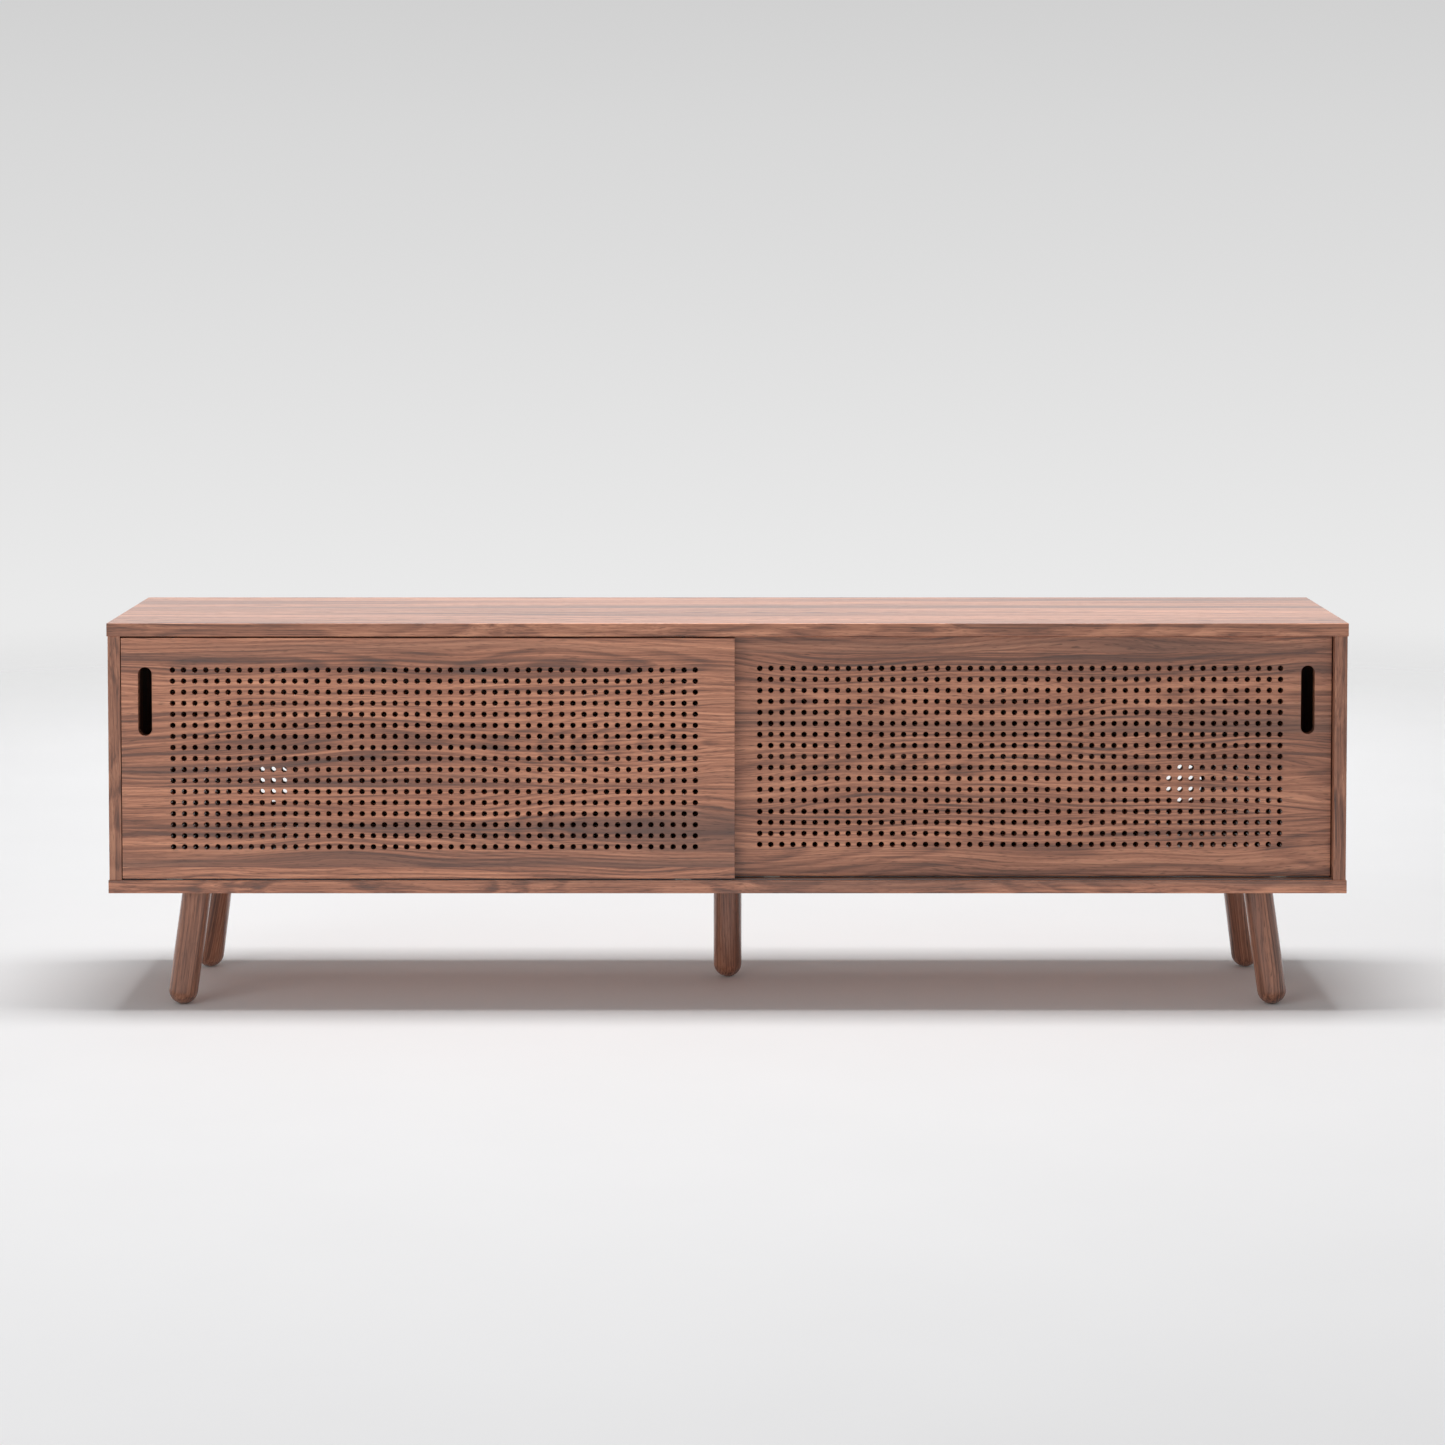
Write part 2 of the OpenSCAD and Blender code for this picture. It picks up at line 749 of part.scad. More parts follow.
module cam_fittings() {
  color(zinc)
    for (upright = UPRIGHTS, upper = [0, 1])
      at_cams(upright, upper) cam(cam_depth(upright) - 0.2, upper);
}

// Thread in the outer panel, shank through the upright's end, head in the cam
module cam_bolts() {
  color(steel) at_joints(cam_ys) {
    translate([0, 0, -cam_edge - 2]) {
      cylinder(d = cam_thread_d, h = cam_edge + 2 + cam_thread_l);
      cylinder(d = cam_bolt_d - 0.5, h = 3);
    }
    translate([0, 0, -cam_edge + cam_d / 2 + 1])
      cylinder(d = cam_bolt_d, h = cam_edge - cam_d / 2 - 1);
  }
}

module dowels() {
  color(beech) at_joints(dowel_ys)
    translate([0, 0, -dowel_in_upright]) cylinder(d = dowel_d, h = dowel_in_upright + dowel_in_panel);
}

// ---------- Output ----------

top_panel();
bottom_panel();
left_side_panel();
right_side_panel();
centre_divider();
left_back_panel();
right_back_panel();
left_shelf();
right_shelf();
shelf_pins();
left_door();
right_door();
front_top_track();
rear_top_track();
front_bottom_track();
rear_bottom_track();
track_stops();
track_screws();
left_door_roller_housings();
left_door_roller_axles();
left_door_roller_screws();
left_door_top_guides();
left_door_outer_wheel();
left_door_inner_wheel();
right_door_roller_housings();
right_door_roller_axles();
right_door_roller_screws();
right_door_top_guides();
right_door_outer_wheel();
right_door_inner_wheel();
front_left_leg();
front_right_leg();
back_left_leg();
back_right_leg();
centre_leg();
front_left_leg_plate();
front_right_leg_plate();
back_left_leg_plate();
back_right_leg_plate();
centre_leg_plate();
leg_bolts();
leg_plate_screws();
cam_fittings();
cam_bolts();
dowels();
back_panel_screws();
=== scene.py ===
import json
import math

import bmesh
import bpy
import numpy as np
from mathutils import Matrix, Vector, geometry


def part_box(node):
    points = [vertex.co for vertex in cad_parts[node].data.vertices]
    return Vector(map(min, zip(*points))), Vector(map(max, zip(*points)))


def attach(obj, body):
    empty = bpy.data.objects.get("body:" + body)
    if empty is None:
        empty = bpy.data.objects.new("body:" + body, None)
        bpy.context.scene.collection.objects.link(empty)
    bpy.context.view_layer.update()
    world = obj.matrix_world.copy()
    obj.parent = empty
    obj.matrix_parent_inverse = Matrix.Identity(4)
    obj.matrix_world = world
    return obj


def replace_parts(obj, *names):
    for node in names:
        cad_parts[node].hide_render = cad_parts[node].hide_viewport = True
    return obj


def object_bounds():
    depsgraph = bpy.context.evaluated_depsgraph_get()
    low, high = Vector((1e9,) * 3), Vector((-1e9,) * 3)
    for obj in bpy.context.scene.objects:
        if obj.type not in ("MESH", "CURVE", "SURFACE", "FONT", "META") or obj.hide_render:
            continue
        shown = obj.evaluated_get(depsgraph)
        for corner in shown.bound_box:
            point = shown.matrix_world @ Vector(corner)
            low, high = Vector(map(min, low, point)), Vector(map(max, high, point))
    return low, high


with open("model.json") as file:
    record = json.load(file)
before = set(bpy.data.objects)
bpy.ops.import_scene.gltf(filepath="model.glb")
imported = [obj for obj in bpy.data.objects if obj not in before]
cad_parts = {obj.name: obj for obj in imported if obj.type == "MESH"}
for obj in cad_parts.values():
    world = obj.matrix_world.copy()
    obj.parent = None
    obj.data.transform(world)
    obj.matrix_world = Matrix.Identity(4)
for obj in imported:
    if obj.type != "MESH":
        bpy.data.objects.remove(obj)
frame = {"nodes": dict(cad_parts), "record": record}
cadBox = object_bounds()
print("frame loaded:", len(frame["nodes"]), "nodes")

mm = 0.001
mergeDistance = 2e-6    # points of a CAD mesh that lie this close are one


# Shared mesh work. A surface is its points and a list of (faces, smooth): each faces array holds point
# numbers with one row per face, all anticlockwise seen from outside.

def joinSurfaces(parts):
    # Puts surfaces one after another, with each one's numbers moved past the points before it.
    points, faces, start = [], [], 0
    for partPoints, partFaces in parts:
        points.append(partPoints)
        faces += [(f + start, smooth) for f, smooth in partFaces]
        start += len(partPoints)
    return np.concatenate(points), faces


def weldSurface(surface, tolerance=2e-7):
    # Points that round to the same place become one, and faces that lose their area go.
    points, faces = surface
    keys = np.round(points / tolerance).astype(np.int64)
    _, first, same = np.unique(keys, axis=0, return_index=True, return_inverse=True)
    same = same.reshape(-1)
    kept = []
    for f, smooth in faces:
        g = same[f]
        lost = g == np.roll(g, -1, axis=1)
        kept.append((g[~lost.any(axis=1)], smooth))
        if g.shape[1] == 4:  # a quad with one lost edge is a triangle
            broken = g[lost.sum(axis=1) == 1]
            kept.append((broken[broken != np.roll(broken, -1, axis=1)].reshape(-1, 3), smooth))
    return points[first], [(f, smooth) for f, smooth in kept if len(f)]


def gridFaces(rows, columns, closed=True):
    # Quads between neighbouring rows of a grid of points; closed joins the last column to the first.
    r = np.arange(rows - 1)[:, None]
    c = np.arange(columns if closed else columns - 1)[None, :]
    d = (c + 1) % columns
    quads = np.stack(np.broadcast_arrays(r * columns + c, r * columns + d,
                                         (r + 1) * columns + d, (r + 1) * columns + c), axis=-1)
    return quads.reshape(-1, 4)


def ringStack(loops, capFirst=False, capLast=False):
    # A wall through closed loops of equal length, and a flat face over the first or the last.
    loops = np.asarray(loops)
    count, size, _ = loops.shape
    faces = [(gridFaces(count, size), True)]
    if capFirst:
        faces.append((np.arange(size)[None, ::-1], False))
    if capLast:
        faces.append(((count - 1) * size + np.arange(size)[None, :], False))
    return loops.reshape(-1, 3), faces


def turnedOver(surface):
    # Reverses each face's order of points, so that it faces the other way.
    points, faces = surface
    return points, [(f[:, ::-1], smooth) for f, smooth in faces]


def insideLoop(points, loop):
    # Even-odd rule: counts the loop's edges that a level ray from each point crosses.
    x, y = points[:, 0:1], points[:, 1:2]
    ax, ay = loop[:, 0], loop[:, 1]
    bx, by = np.roll(ax, -1), np.roll(ay, -1)
    spans = (ay > y) != (by > y)
    run = np.where(by == ay, 1.0, by - ay)
    return (spans & (x < (bx - ax) * (y - ay) / run + ax)).sum(axis=1) % 2 == 1


def flatFace(outline, holes):
    # A flat face with holes, as anticlockwise triangles between the given loops' own points.
    loops = [outline, *holes]
    starts = np.cumsum([0] + [len(one) for one in loops[:-1]])
    edges = [start + np.stack([np.arange(len(one)), (np.arange(len(one)) + 1) % len(one)], axis=1)
             for start, one in zip(starts, loops)]
    made = geometry.delaunay_2d_cdt([Vector(p) for p in np.concatenate(loops).tolist()],
                                    np.concatenate(edges).tolist(), [], 1, 1e-9)
    flat, triangles = np.array([p[:] for p in made[0]]), np.array(made[2])
    middles = flat[triangles].mean(axis=1)
    keep = insideLoop(middles, outline)
    for hole in holes:
        keep &= ~insideLoop(middles, hole)
    triangles = triangles[keep]
    a, b, c = (flat[triangles[:, k]] for k in range(3))
    clockwise = (b[:, 0] - a[:, 0]) * (c[:, 1] - a[:, 1]) < (b[:, 1] - a[:, 1]) * (c[:, 0] - a[:, 0])
    triangles[clockwise] = triangles[clockwise][:, ::-1]
    return flat, triangles


def circlePoints(radius, sides):
    # Radius times (cos, sin) of equal turns, anticlockwise from the first axis.
    turn = np.arange(sides) * 2 * np.pi / sides
    return radius * np.stack([np.cos(turn), np.sin(turn)], axis=1)


def latheSurface(profile, segments):
    # Turns a profile of (radius, height) points about Z. A radius of 0 closes it in a pole.
    profile = np.asarray(profile, float)
    ring = circlePoints(1, segments)
    heights = np.broadcast_to(profile[:, 1, None, None], (len(profile), segments, 1))
    points = np.concatenate([profile[:, 0, None, None] * ring, heights], axis=-1)
    return weldSurface((points.reshape(-1, 3), [(gridFaces(len(profile), segments), True)]))


def placed(surface, origin, xAxis, yAxis, zAxis):
    # Carries a surface to a place and three axes; where they mirror it, its faces are turned over.
    points, faces = surface
    axes = np.array([xAxis, yAxis, zAxis], float)
    moved = points @ axes + origin
    return turnedOver((moved, faces)) if np.linalg.det(axes) < 0 else (moved, faces)


def makePiece(name, surface, material, body, grain=None, sharp=32):
    # Writes a surface into a mesh whose object stays at the origin. Edges that turn more than sharp degrees
    # stay crisp.
    points, faces = surface
    numbers = np.concatenate([f.reshape(-1) for f, _ in faces])
    sizes = np.concatenate([np.full(len(f), f.shape[1]) for f, _ in faces])
    smooth = np.concatenate([np.full(len(f), flag) for f, flag in faces])
    mesh = bpy.data.meshes.new(name)
    mesh.vertices.add(len(points))
    mesh.vertices.foreach_set("co", points.astype(np.float32).reshape(-1))
    mesh.loops.add(len(numbers))
    mesh.loops.foreach_set("vertex_index", numbers.astype(np.int32))
    mesh.polygons.add(len(sizes))
    mesh.polygons.foreach_set("loop_start", (np.cumsum(sizes) - sizes).astype(np.int32))
    mesh.update(calc_edges=True)
    mesh.set_sharp_from_angle(angle=math.radians(sharp))
    mesh.polygons.foreach_set("use_smooth", smooth)
    if grain is not None:
        setGrain(mesh, grain(points))
    return finishPiece(name, mesh, material, body)


def finishPiece(name, mesh, material, body):
    # Gives a mesh its material and its object, and says which body it rides on.
    mesh.validate()
    mesh.materials.clear()
    mesh.materials.append(material)
    piece = bpy.data.objects.new(name, mesh)
    bpy.context.scene.collection.objects.link(piece)
    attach(piece, body)
    return piece


def setGrain(mesh, places):
    # Where each point lies in the wood: along the grain, across it, and through it, in metres.
    layer = mesh.attributes.new("grain", "FLOAT_VECTOR", "POINT")
    layer.data.foreach_set("vector", np.asarray(places, np.float32).reshape(-1))


def meshPoints(mesh):
    # A mesh's points as rows of x, y and z.
    flat = np.empty(len(mesh.vertices) * 3, np.float32)
    mesh.vertices.foreach_get("co", flat)
    return flat.reshape(-1, 3).astype(float)


def corners(node):
    # The lowest and highest corner of a node's box.
    low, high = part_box(node)
    return np.array(low), np.array(high)


# Materials

def linear(hexColour):
    # sRGB hex to linear light.
    c = np.array([int(hexColour[k:k + 2], 16) for k in (1, 3, 5)]) / 255
    c = np.where(c <= 0.04045, c / 12.92, ((c + 0.055) / 1.055) ** 2.4)
    return (*c.tolist(), 1.0)


def addNode(tree, kind, links=None, **settings):
    # Adds a node, sets its properties, then fills its inputs by name or number with a value, a socket, or
    # another node's first output.
    node = tree.nodes.new(kind)
    for key, value in settings.items():
        setattr(node, key, value)
    for key, value in (links or {}).items():
        if isinstance(value, bpy.types.Node):
            value = value.outputs[0]
        if isinstance(value, bpy.types.NodeSocket):
            tree.links.new(value, node.inputs[key])
        else:
            node.inputs[key].default_value = value
    return node


def newMaterial(name):
    # A material with its node tree and its one shader.
    material = bpy.data.materials.new(name)
    material.use_nodes = True
    tree = material.node_tree
    return material, tree, tree.nodes["Principled BSDF"]


def setRamp(node, stops):
    # Replaces a colour ramp's stops with the given (position, colour) pairs.
    ramp = node.color_ramp
    while len(ramp.elements) > 1:
        ramp.elements.remove(ramp.elements[0])
    ramp.elements[0].position, ramp.elements[0].color = stops[0]
    for position, colour in stops[1:]:
        ramp.elements.new(position).color = colour


walnut = {
    "pale": "#dc9a78",        # early wood
    "body": "#b3765a",        # the ground colour
    "deep": "#825441",        # late wood
    "smoke": "#61463d",       # broad dark pigment figure
    "pore": "#40281f",
    "leafWidth": 117 * mm,    # width of one veneer leaf
    "leafSpread": (4.3, 0.0, 2.9),    # how far apart in the log two leaves may lie, in metres
    "ringWidth": 6.2 * mm,    # growth rings at a leaf's edge
    "ringShare": 0.26,        # how much the rings count in the wood's shade
    "heartWander": 0.16,      # how far the log's heart rises and falls under the face, in metres
    "heartRise": -0.04,
    "waves": [(1.5, 7.0, 85 * mm), (5.0, 34.0, 12 * mm)],    # per metre along, per metre across, and reach
    # Lines along the grain: how many per metre along and across, and how much they count.
    "lines": [(0.7, 16.0, 0.42), (0.8, 75.0, 0.26), (0.9, 250.0, 0.56), (4.0, 620.0, 0.36)],
    "lineRoughness": 0.55,
    "middle": 0.91,           # the summed shade that becomes the ground colour
    "contrast": 2.1,
    "lift": 0.53,
    "smokeScale": (0.55, 15.0, 15.0),
    "heartDark": 0.11,        # how much a leaf from near the heart darkens towards its edge
    "poreWidth": 0.9 * mm,    # about twice the real width, so that it shows
    "poresAlong": 60.0,       # pores per metre along the grain
    "roughness": 0.40,
    "lacquer": 0.9,
    "lacquerRoughness": 0.24,
}


def grainNoise(tree, place, scale, detail=2.0, roughness=0.5):
    # Noise drawn out along the grain: the place times how many per metre along, across and through the
    # wood, then noise at that point.
    scaled = addNode(tree, "ShaderNodeVectorMath", {0: place, 1: scale}, operation="MULTIPLY")
    return addNode(tree, "ShaderNodeTexNoise", {"Vector": scaled, "Scale": 1.0, "Detail": detail,
                   "Roughness": roughness})


def walnutWood(name, look, leaves=True, tone=1.0):
    # Flat sawn walnut under a thin matt lacquer: wavy ring lines that close into arches, broad smoky
    # bands, fine dark pores along the grain, and a pale sheen at low angles.
    material, tree, shader = newMaterial(name)
    grain = addNode(tree, "ShaderNodeAttribute", attribute_name="grain").outputs["Vector"]
    parts = addNode(tree, "ShaderNodeSeparateXYZ", {0: grain})
    across, through = parts.outputs["Y"], parts.outputs["Z"]
    place, offset = grain, across
    if leaves:  # each veneer leaf is cut from its own part of the log
        width = look["leafWidth"]
        count = addNode(tree, "ShaderNodeMath", {0: across, 1: width}, operation="DIVIDE")
        leaf = addNode(tree, "ShaderNodeMath", {0: count}, operation="FLOOR")
        pick = addNode(tree, "ShaderNodeTexWhiteNoise", {"W": leaf}, noise_dimensions="1D").outputs["Color"]
        shift = addNode(tree, "ShaderNodeVectorMath", {0: pick, 1: look["leafSpread"]}, operation="MULTIPLY")
        place = addNode(tree, "ShaderNodeVectorMath", {0: grain, 1: shift}, operation="ADD").outputs[0]
        half = addNode(tree, "ShaderNodeMath", {0: leaf, 1: 0.5}, operation="ADD")
        middle = addNode(tree, "ShaderNodeMath", {0: half, 1: width}, operation="MULTIPLY")
        offset = addNode(tree, "ShaderNodeMath", {0: across, 1: middle}, operation="SUBTRACT")

    # The grain is pushed sideways, smoothly, by up to half of each wave's reach.
    bent = place
    for along, sideways, reach in look["waves"]:
        wave = grainNoise(tree, place, (along, sideways, sideways)).outputs["Color"]
        level = addNode(tree, "ShaderNodeVectorMath", {0: wave, 1: (0.5, 0.5, 0.5)}, operation="SUBTRACT")
        push = addNode(tree, "ShaderNodeVectorMath", {0: level, 1: (0.0, reach, reach * 0.3)},
                       operation="MULTIPLY")
        bent = addNode(tree, "ShaderNodeVectorMath", {0: bent, 1: push}, operation="ADD").outputs[0]
    sideways = addNode(tree, "ShaderNodeSeparateXYZ", {0: bent}).outputs["Y"]
    drift = addNode(tree, "ShaderNodeMath", {0: sideways, 1: across}, operation="SUBTRACT")

    # Rings round a heart that runs just under the face: distance from it, in rings.
    rise = grainNoise(tree, place, (1.3, 0.0, 1.0), 1.0)
    depth = addNode(tree, "ShaderNodeMath", {0: rise, 1: look["heartWander"], 2: look["heartRise"]},
                    operation="MULTIPLY_ADD")
    if not leaves:
        depth = addNode(tree, "ShaderNodeMath", {0: depth, 1: through}, operation="ADD")
    cross = addNode(tree, "ShaderNodeMath", {0: offset, 1: drift}, operation="ADD")
    crossSquare = addNode(tree, "ShaderNodeMath", {0: cross, 1: cross}, operation="MULTIPLY")
    squares = addNode(tree, "ShaderNodeMath", {0: depth, 1: depth, 2: crossSquare}, operation="MULTIPLY_ADD")
    reach = addNode(tree, "ShaderNodeMath", {0: squares}, operation="SQRT")
    rings = addNode(tree, "ShaderNodeMath", {0: reach, 1: look["ringWidth"]}, operation="DIVIDE")
    ring = addNode(tree, "ShaderNodeMath", {0: rings}, operation="FRACT")
    lateWood = addNode(tree, "ShaderNodeValToRGB", {0: ring})
    setRamp(lateWood, [(0.0, (0.3, 0.3, 0.3, 1)), (0.12, (0.62, 0.62, 0.62, 1)), (0.5, (0.55, 0.55, 0.55, 1)),
                       (0.9, (0.18, 0.18, 0.18, 1)), (1.0, (0.3, 0.3, 0.3, 1))])

    # One number from dark to pale, summed from lines of several widths that all follow the grain.
    shade = addNode(tree, "ShaderNodeMath", {0: lateWood, 1: look["ringShare"]}, operation="MULTIPLY")
    for along, sideways, share in look["lines"]:
        line = grainNoise(tree, bent, (along, sideways, sideways), 2.0, look["lineRoughness"])
        shade = addNode(tree, "ShaderNodeMath", {0: line, 1: share, 2: shade}, operation="MULTIPLY_ADD")
    level = addNode(tree, "ShaderNodeMath", {0: shade, 1: look["middle"]}, operation="SUBTRACT")
    centred = addNode(tree, "ShaderNodeMath", {0: level, 1: look["contrast"], 2: look["lift"]},
                      operation="MULTIPLY_ADD")
    colour = addNode(tree, "ShaderNodeValToRGB", {0: centred})
    stops = [(0.02, "smoke"), (0.28, "deep"), (0.55, "body"), (0.95, "pale")]
    setRamp(colour, [(position, linear(look[tint])) for position, tint in stops])

    # Smoke: broad bands, and in some leaves a darkening towards the edge that lay near the heart.
    smokeField = grainNoise(tree, bent, look["smokeScale"], 3.0, 0.55)
    if leaves:
        edge = addNode(tree, "ShaderNodeMapRange", {0: offset, 1: 12 * mm, 2: -look["leafWidth"] / 2, 3: 0.0,
                       4: look["heartDark"]}, interpolation_type="SMOOTHSTEP")
        chance = addNode(tree, "ShaderNodeSeparateXYZ", {0: pick}).outputs["Y"]
        nearness = addNode(tree, "ShaderNodeMapRange", {0: chance, 1: 0.3, 2: 0.7, 3: 0.1, 4: 1.0},
                           interpolation_type="SMOOTHSTEP")
        heart = addNode(tree, "ShaderNodeMath", {0: edge, 1: nearness}, operation="MULTIPLY")
        smokeField = addNode(tree, "ShaderNodeMath", {0: smokeField, 1: heart}, operation="ADD")
    smoke = addNode(tree, "ShaderNodeMapRange", {0: smokeField, 1: 0.56, 2: 0.78, 3: 0.0, 4: 0.85},
                    interpolation_type="SMOOTHSTEP").outputs[0]

    # Pores: short dark strokes, sunk a little and rougher than the wood round them.
    poresAcross = 1 / look["poreWidth"]
    pores = grainNoise(tree, bent, (look["poresAlong"], poresAcross, poresAcross), 1.0)
    poreShare = addNode(tree, "ShaderNodeMapRange", {0: pores, 1: 0.57, 2: 0.74, 3: 0.0, 4: 0.6}).outputs[0]

    # Socket numbers 6 and 7 are a colour mix's two colours, and output 2 is its colour.
    dark = np.array(linear(look["smoke"])) * (tone, tone, tone, 1)
    stained = addNode(tree, "ShaderNodeMix", {"Factor": smoke, 6: colour, 7: dark.tolist()}, data_type="RGBA")
    marked = addNode(tree, "ShaderNodeMix", {"Factor": poreShare, 6: stained.outputs[2],
                     7: linear(look["pore"])}, data_type="RGBA").outputs[2]
    toned = addNode(tree, "ShaderNodeVectorMath", {0: marked, 1: (tone, tone, tone)}, operation="MULTIPLY")
    relief = addNode(tree, "ShaderNodeMath", {0: centred, 1: poreShare}, operation="SUBTRACT")
    bump = addNode(tree, "ShaderNodeBump", {"Strength": 0.3, "Distance": 0.2 * mm, "Height": relief})
    rough = addNode(tree, "ShaderNodeMapRange", {0: pores, 1: 0.35, 2: 0.7, 3: look["roughness"] - 0.03,
                    4: look["roughness"] + 0.12})
    tree.links.new(toned.outputs[0], shader.inputs["Base Color"])
    tree.links.new(rough.outputs[0], shader.inputs["Roughness"])
    tree.links.new(bump.outputs[0], shader.inputs["Normal"])
    shader.inputs["IOR"].default_value = 1.5
    shader.inputs["Specular IOR Level"].default_value = 0.25
    shader.inputs["Coat Weight"].default_value = look["lacquer"]
    shader.inputs["Coat Roughness"].default_value = look["lacquerRoughness"]
    return material


def metalFinish(name, hexColour, roughness, streakScale, streakDepth):
    # A metal with fine drawn or plated texture: its roughness and height vary by a stretched noise.
    material, tree, shader = newMaterial(name)
    place = addNode(tree, "ShaderNodeTexCoord").outputs["Object"]
    drawn = addNode(tree, "ShaderNodeVectorMath", {0: place, 1: streakScale}, operation="MULTIPLY").outputs[0]
    grit = addNode(tree, "ShaderNodeTexNoise", {"Vector": drawn, "Scale": 1.0, "Detail": 3.0}).outputs[0]
    cloud = addNode(tree, "ShaderNodeTexNoise", {"Vector": place, "Scale": 60.0, "Detail": 2.0}).outputs[0]
    base = np.array(linear(hexColour))
    tint = addNode(tree, "ShaderNodeValToRGB", {0: cloud})
    setRamp(tint, [(0.3, (*(base[:3] * 0.88).tolist(), 1)), (0.7, (*base[:3].tolist(), 1))])
    rough = addNode(tree, "ShaderNodeMapRange", {0: grit, 1: 0.3, 2: 0.7, 3: roughness * 0.8,
                    4: roughness * 1.25}).outputs[0]
    bump = addNode(tree, "ShaderNodeBump", {"Strength": 0.3, "Distance": streakDepth, "Height": grit})
    tree.links.new(tint.outputs[0], shader.inputs["Base Color"])
    tree.links.new(rough, shader.inputs["Roughness"])
    tree.links.new(bump.outputs[0], shader.inputs["Normal"])
    shader.inputs["Metallic"].default_value = 1.0
    return material


def mouldedFinish(name, hexColour, roughness, grainSize, ior=1.5):
    # A moulded plastic or rubber: an even colour with faint clouding and a spark-eroded grain.
    material, tree, shader = newMaterial(name)
    place = addNode(tree, "ShaderNodeTexCoord").outputs["Object"]
    grit = addNode(tree, "ShaderNodeTexNoise", {"Vector": place, "Scale": 1 / grainSize, "Detail": 2.0})
    cloud = addNode(tree, "ShaderNodeTexNoise", {"Vector": place, "Scale": 45.0, "Detail": 2.0})
    base = np.array(linear(hexColour))
    tint = addNode(tree, "ShaderNodeValToRGB", {0: cloud})
    paler = np.minimum(base[:3] * 1.06, 1)
    setRamp(tint, [(0.3, (*(base[:3] * 0.9).tolist(), 1)), (0.7, (*paler.tolist(), 1))])
    rough = addNode(tree, "ShaderNodeMapRange", {0: grit, 1: 0.3, 2: 0.7, 3: roughness - 0.05,
                    4: roughness + 0.08}).outputs[0]
    bump = addNode(tree, "ShaderNodeBump", {"Strength": 0.35, "Distance": 0.05 * mm, "Height": grit})
    tree.links.new(tint.outputs[0], shader.inputs["Base Color"])
    tree.links.new(rough, shader.inputs["Roughness"])
    tree.links.new(bump.outputs[0], shader.inputs["Normal"])
    shader.inputs["IOR"].default_value = ior
    return material


# Tone multiplies the wood's colour. It was matched board by board under the lights below, so it makes up
# for the light as well as for the wood.
walnutVeneer = walnutWood("walnut veneer, matt lacquer", walnut)
# The top's tone of 1.32 is painted light: it brightens the top for the overhead light and the pale sheen at
# low angles. The top's faces that look forwards and back take the edging, which keeps this painted light off
# them.
walnutTopPaintedLight = walnutWood("walnut veneer from a paler log, matt lacquer", walnut, tone=1.32)
walnutEdging = walnutWood("walnut edge banding, matt lacquer", walnut, tone=0.86)
# The rear door's tone of 0.9 is partly painted shade for the door set back in the recess, away from the fill,
# and partly the wood's own tone.
walnutRearPaintedShade = walnutWood("walnut veneer of the rear door, matt lacquer", walnut, tone=0.9)
# The uprights' tone of 0.68 darkens them partly for the wood's own tone and partly as painted shade.
walnutUprightPaintedShade = walnutWood("walnut veneer from a darker log, matt lacquer", walnut, tone=0.68)
walnutSolid = walnutWood("turned walnut, satin lacquer",
                         {**walnut, "ringWidth": 4.8 * mm, "roughness": 0.38}, leaves=False, tone=0.62)
# Clear anodised extrusion: pale grey metal with faint lines along the draw.
anodisedAluminium = metalFinish("anodised aluminium extrusion", "#c4c7ca", 0.38, (4.0, 1500.0, 1500.0),
                                0.03 * mm)
# Bright zinc plate on steel: slightly blue, with a fine even grain.
zincPlate = metalFinish("zinc plated steel", "#b9bdc3", 0.34, (900.0, 900.0, 900.0), 0.02 * mm)
# Die cast zinc left plain: duller and coarser.
castZinc = metalFinish("die cast zinc", "#9fa2a5", 0.48, (500.0, 500.0, 500.0), 0.05 * mm)
# Glass filled nylon moulded black: charcoal, dry and slightly grained.
blackNylon = mouldedFinish("moulded black nylon", "#232427", 0.5, 0.4 * mm, 1.53)
# Acetal moulded natural white: waxy and smooth.
whiteAcetal = mouldedFinish("moulded white acetal", "#e6e3da", 0.32, 0.8 * mm, 1.48)
# Natural rubber loaded with carbon black: matt.
blackRubber = mouldedFinish("moulded black rubber", "#1b1b1c", 0.75, 0.6 * mm, 1.52)
print("materials made")


# Boards: copies of the flat panels with their outer arrises eased

boards = {
    "ease": 0.6 * mm,      # rounding left by a sanding block
    "near": 1.3 * mm,      # how close to two faces of its box an outer edge lies
    "flatTurn": 0.5,       # triangles that meet at less than this many degrees become one face
    "crispTurn": 50,       # an edge that turns more than this may be eased
}


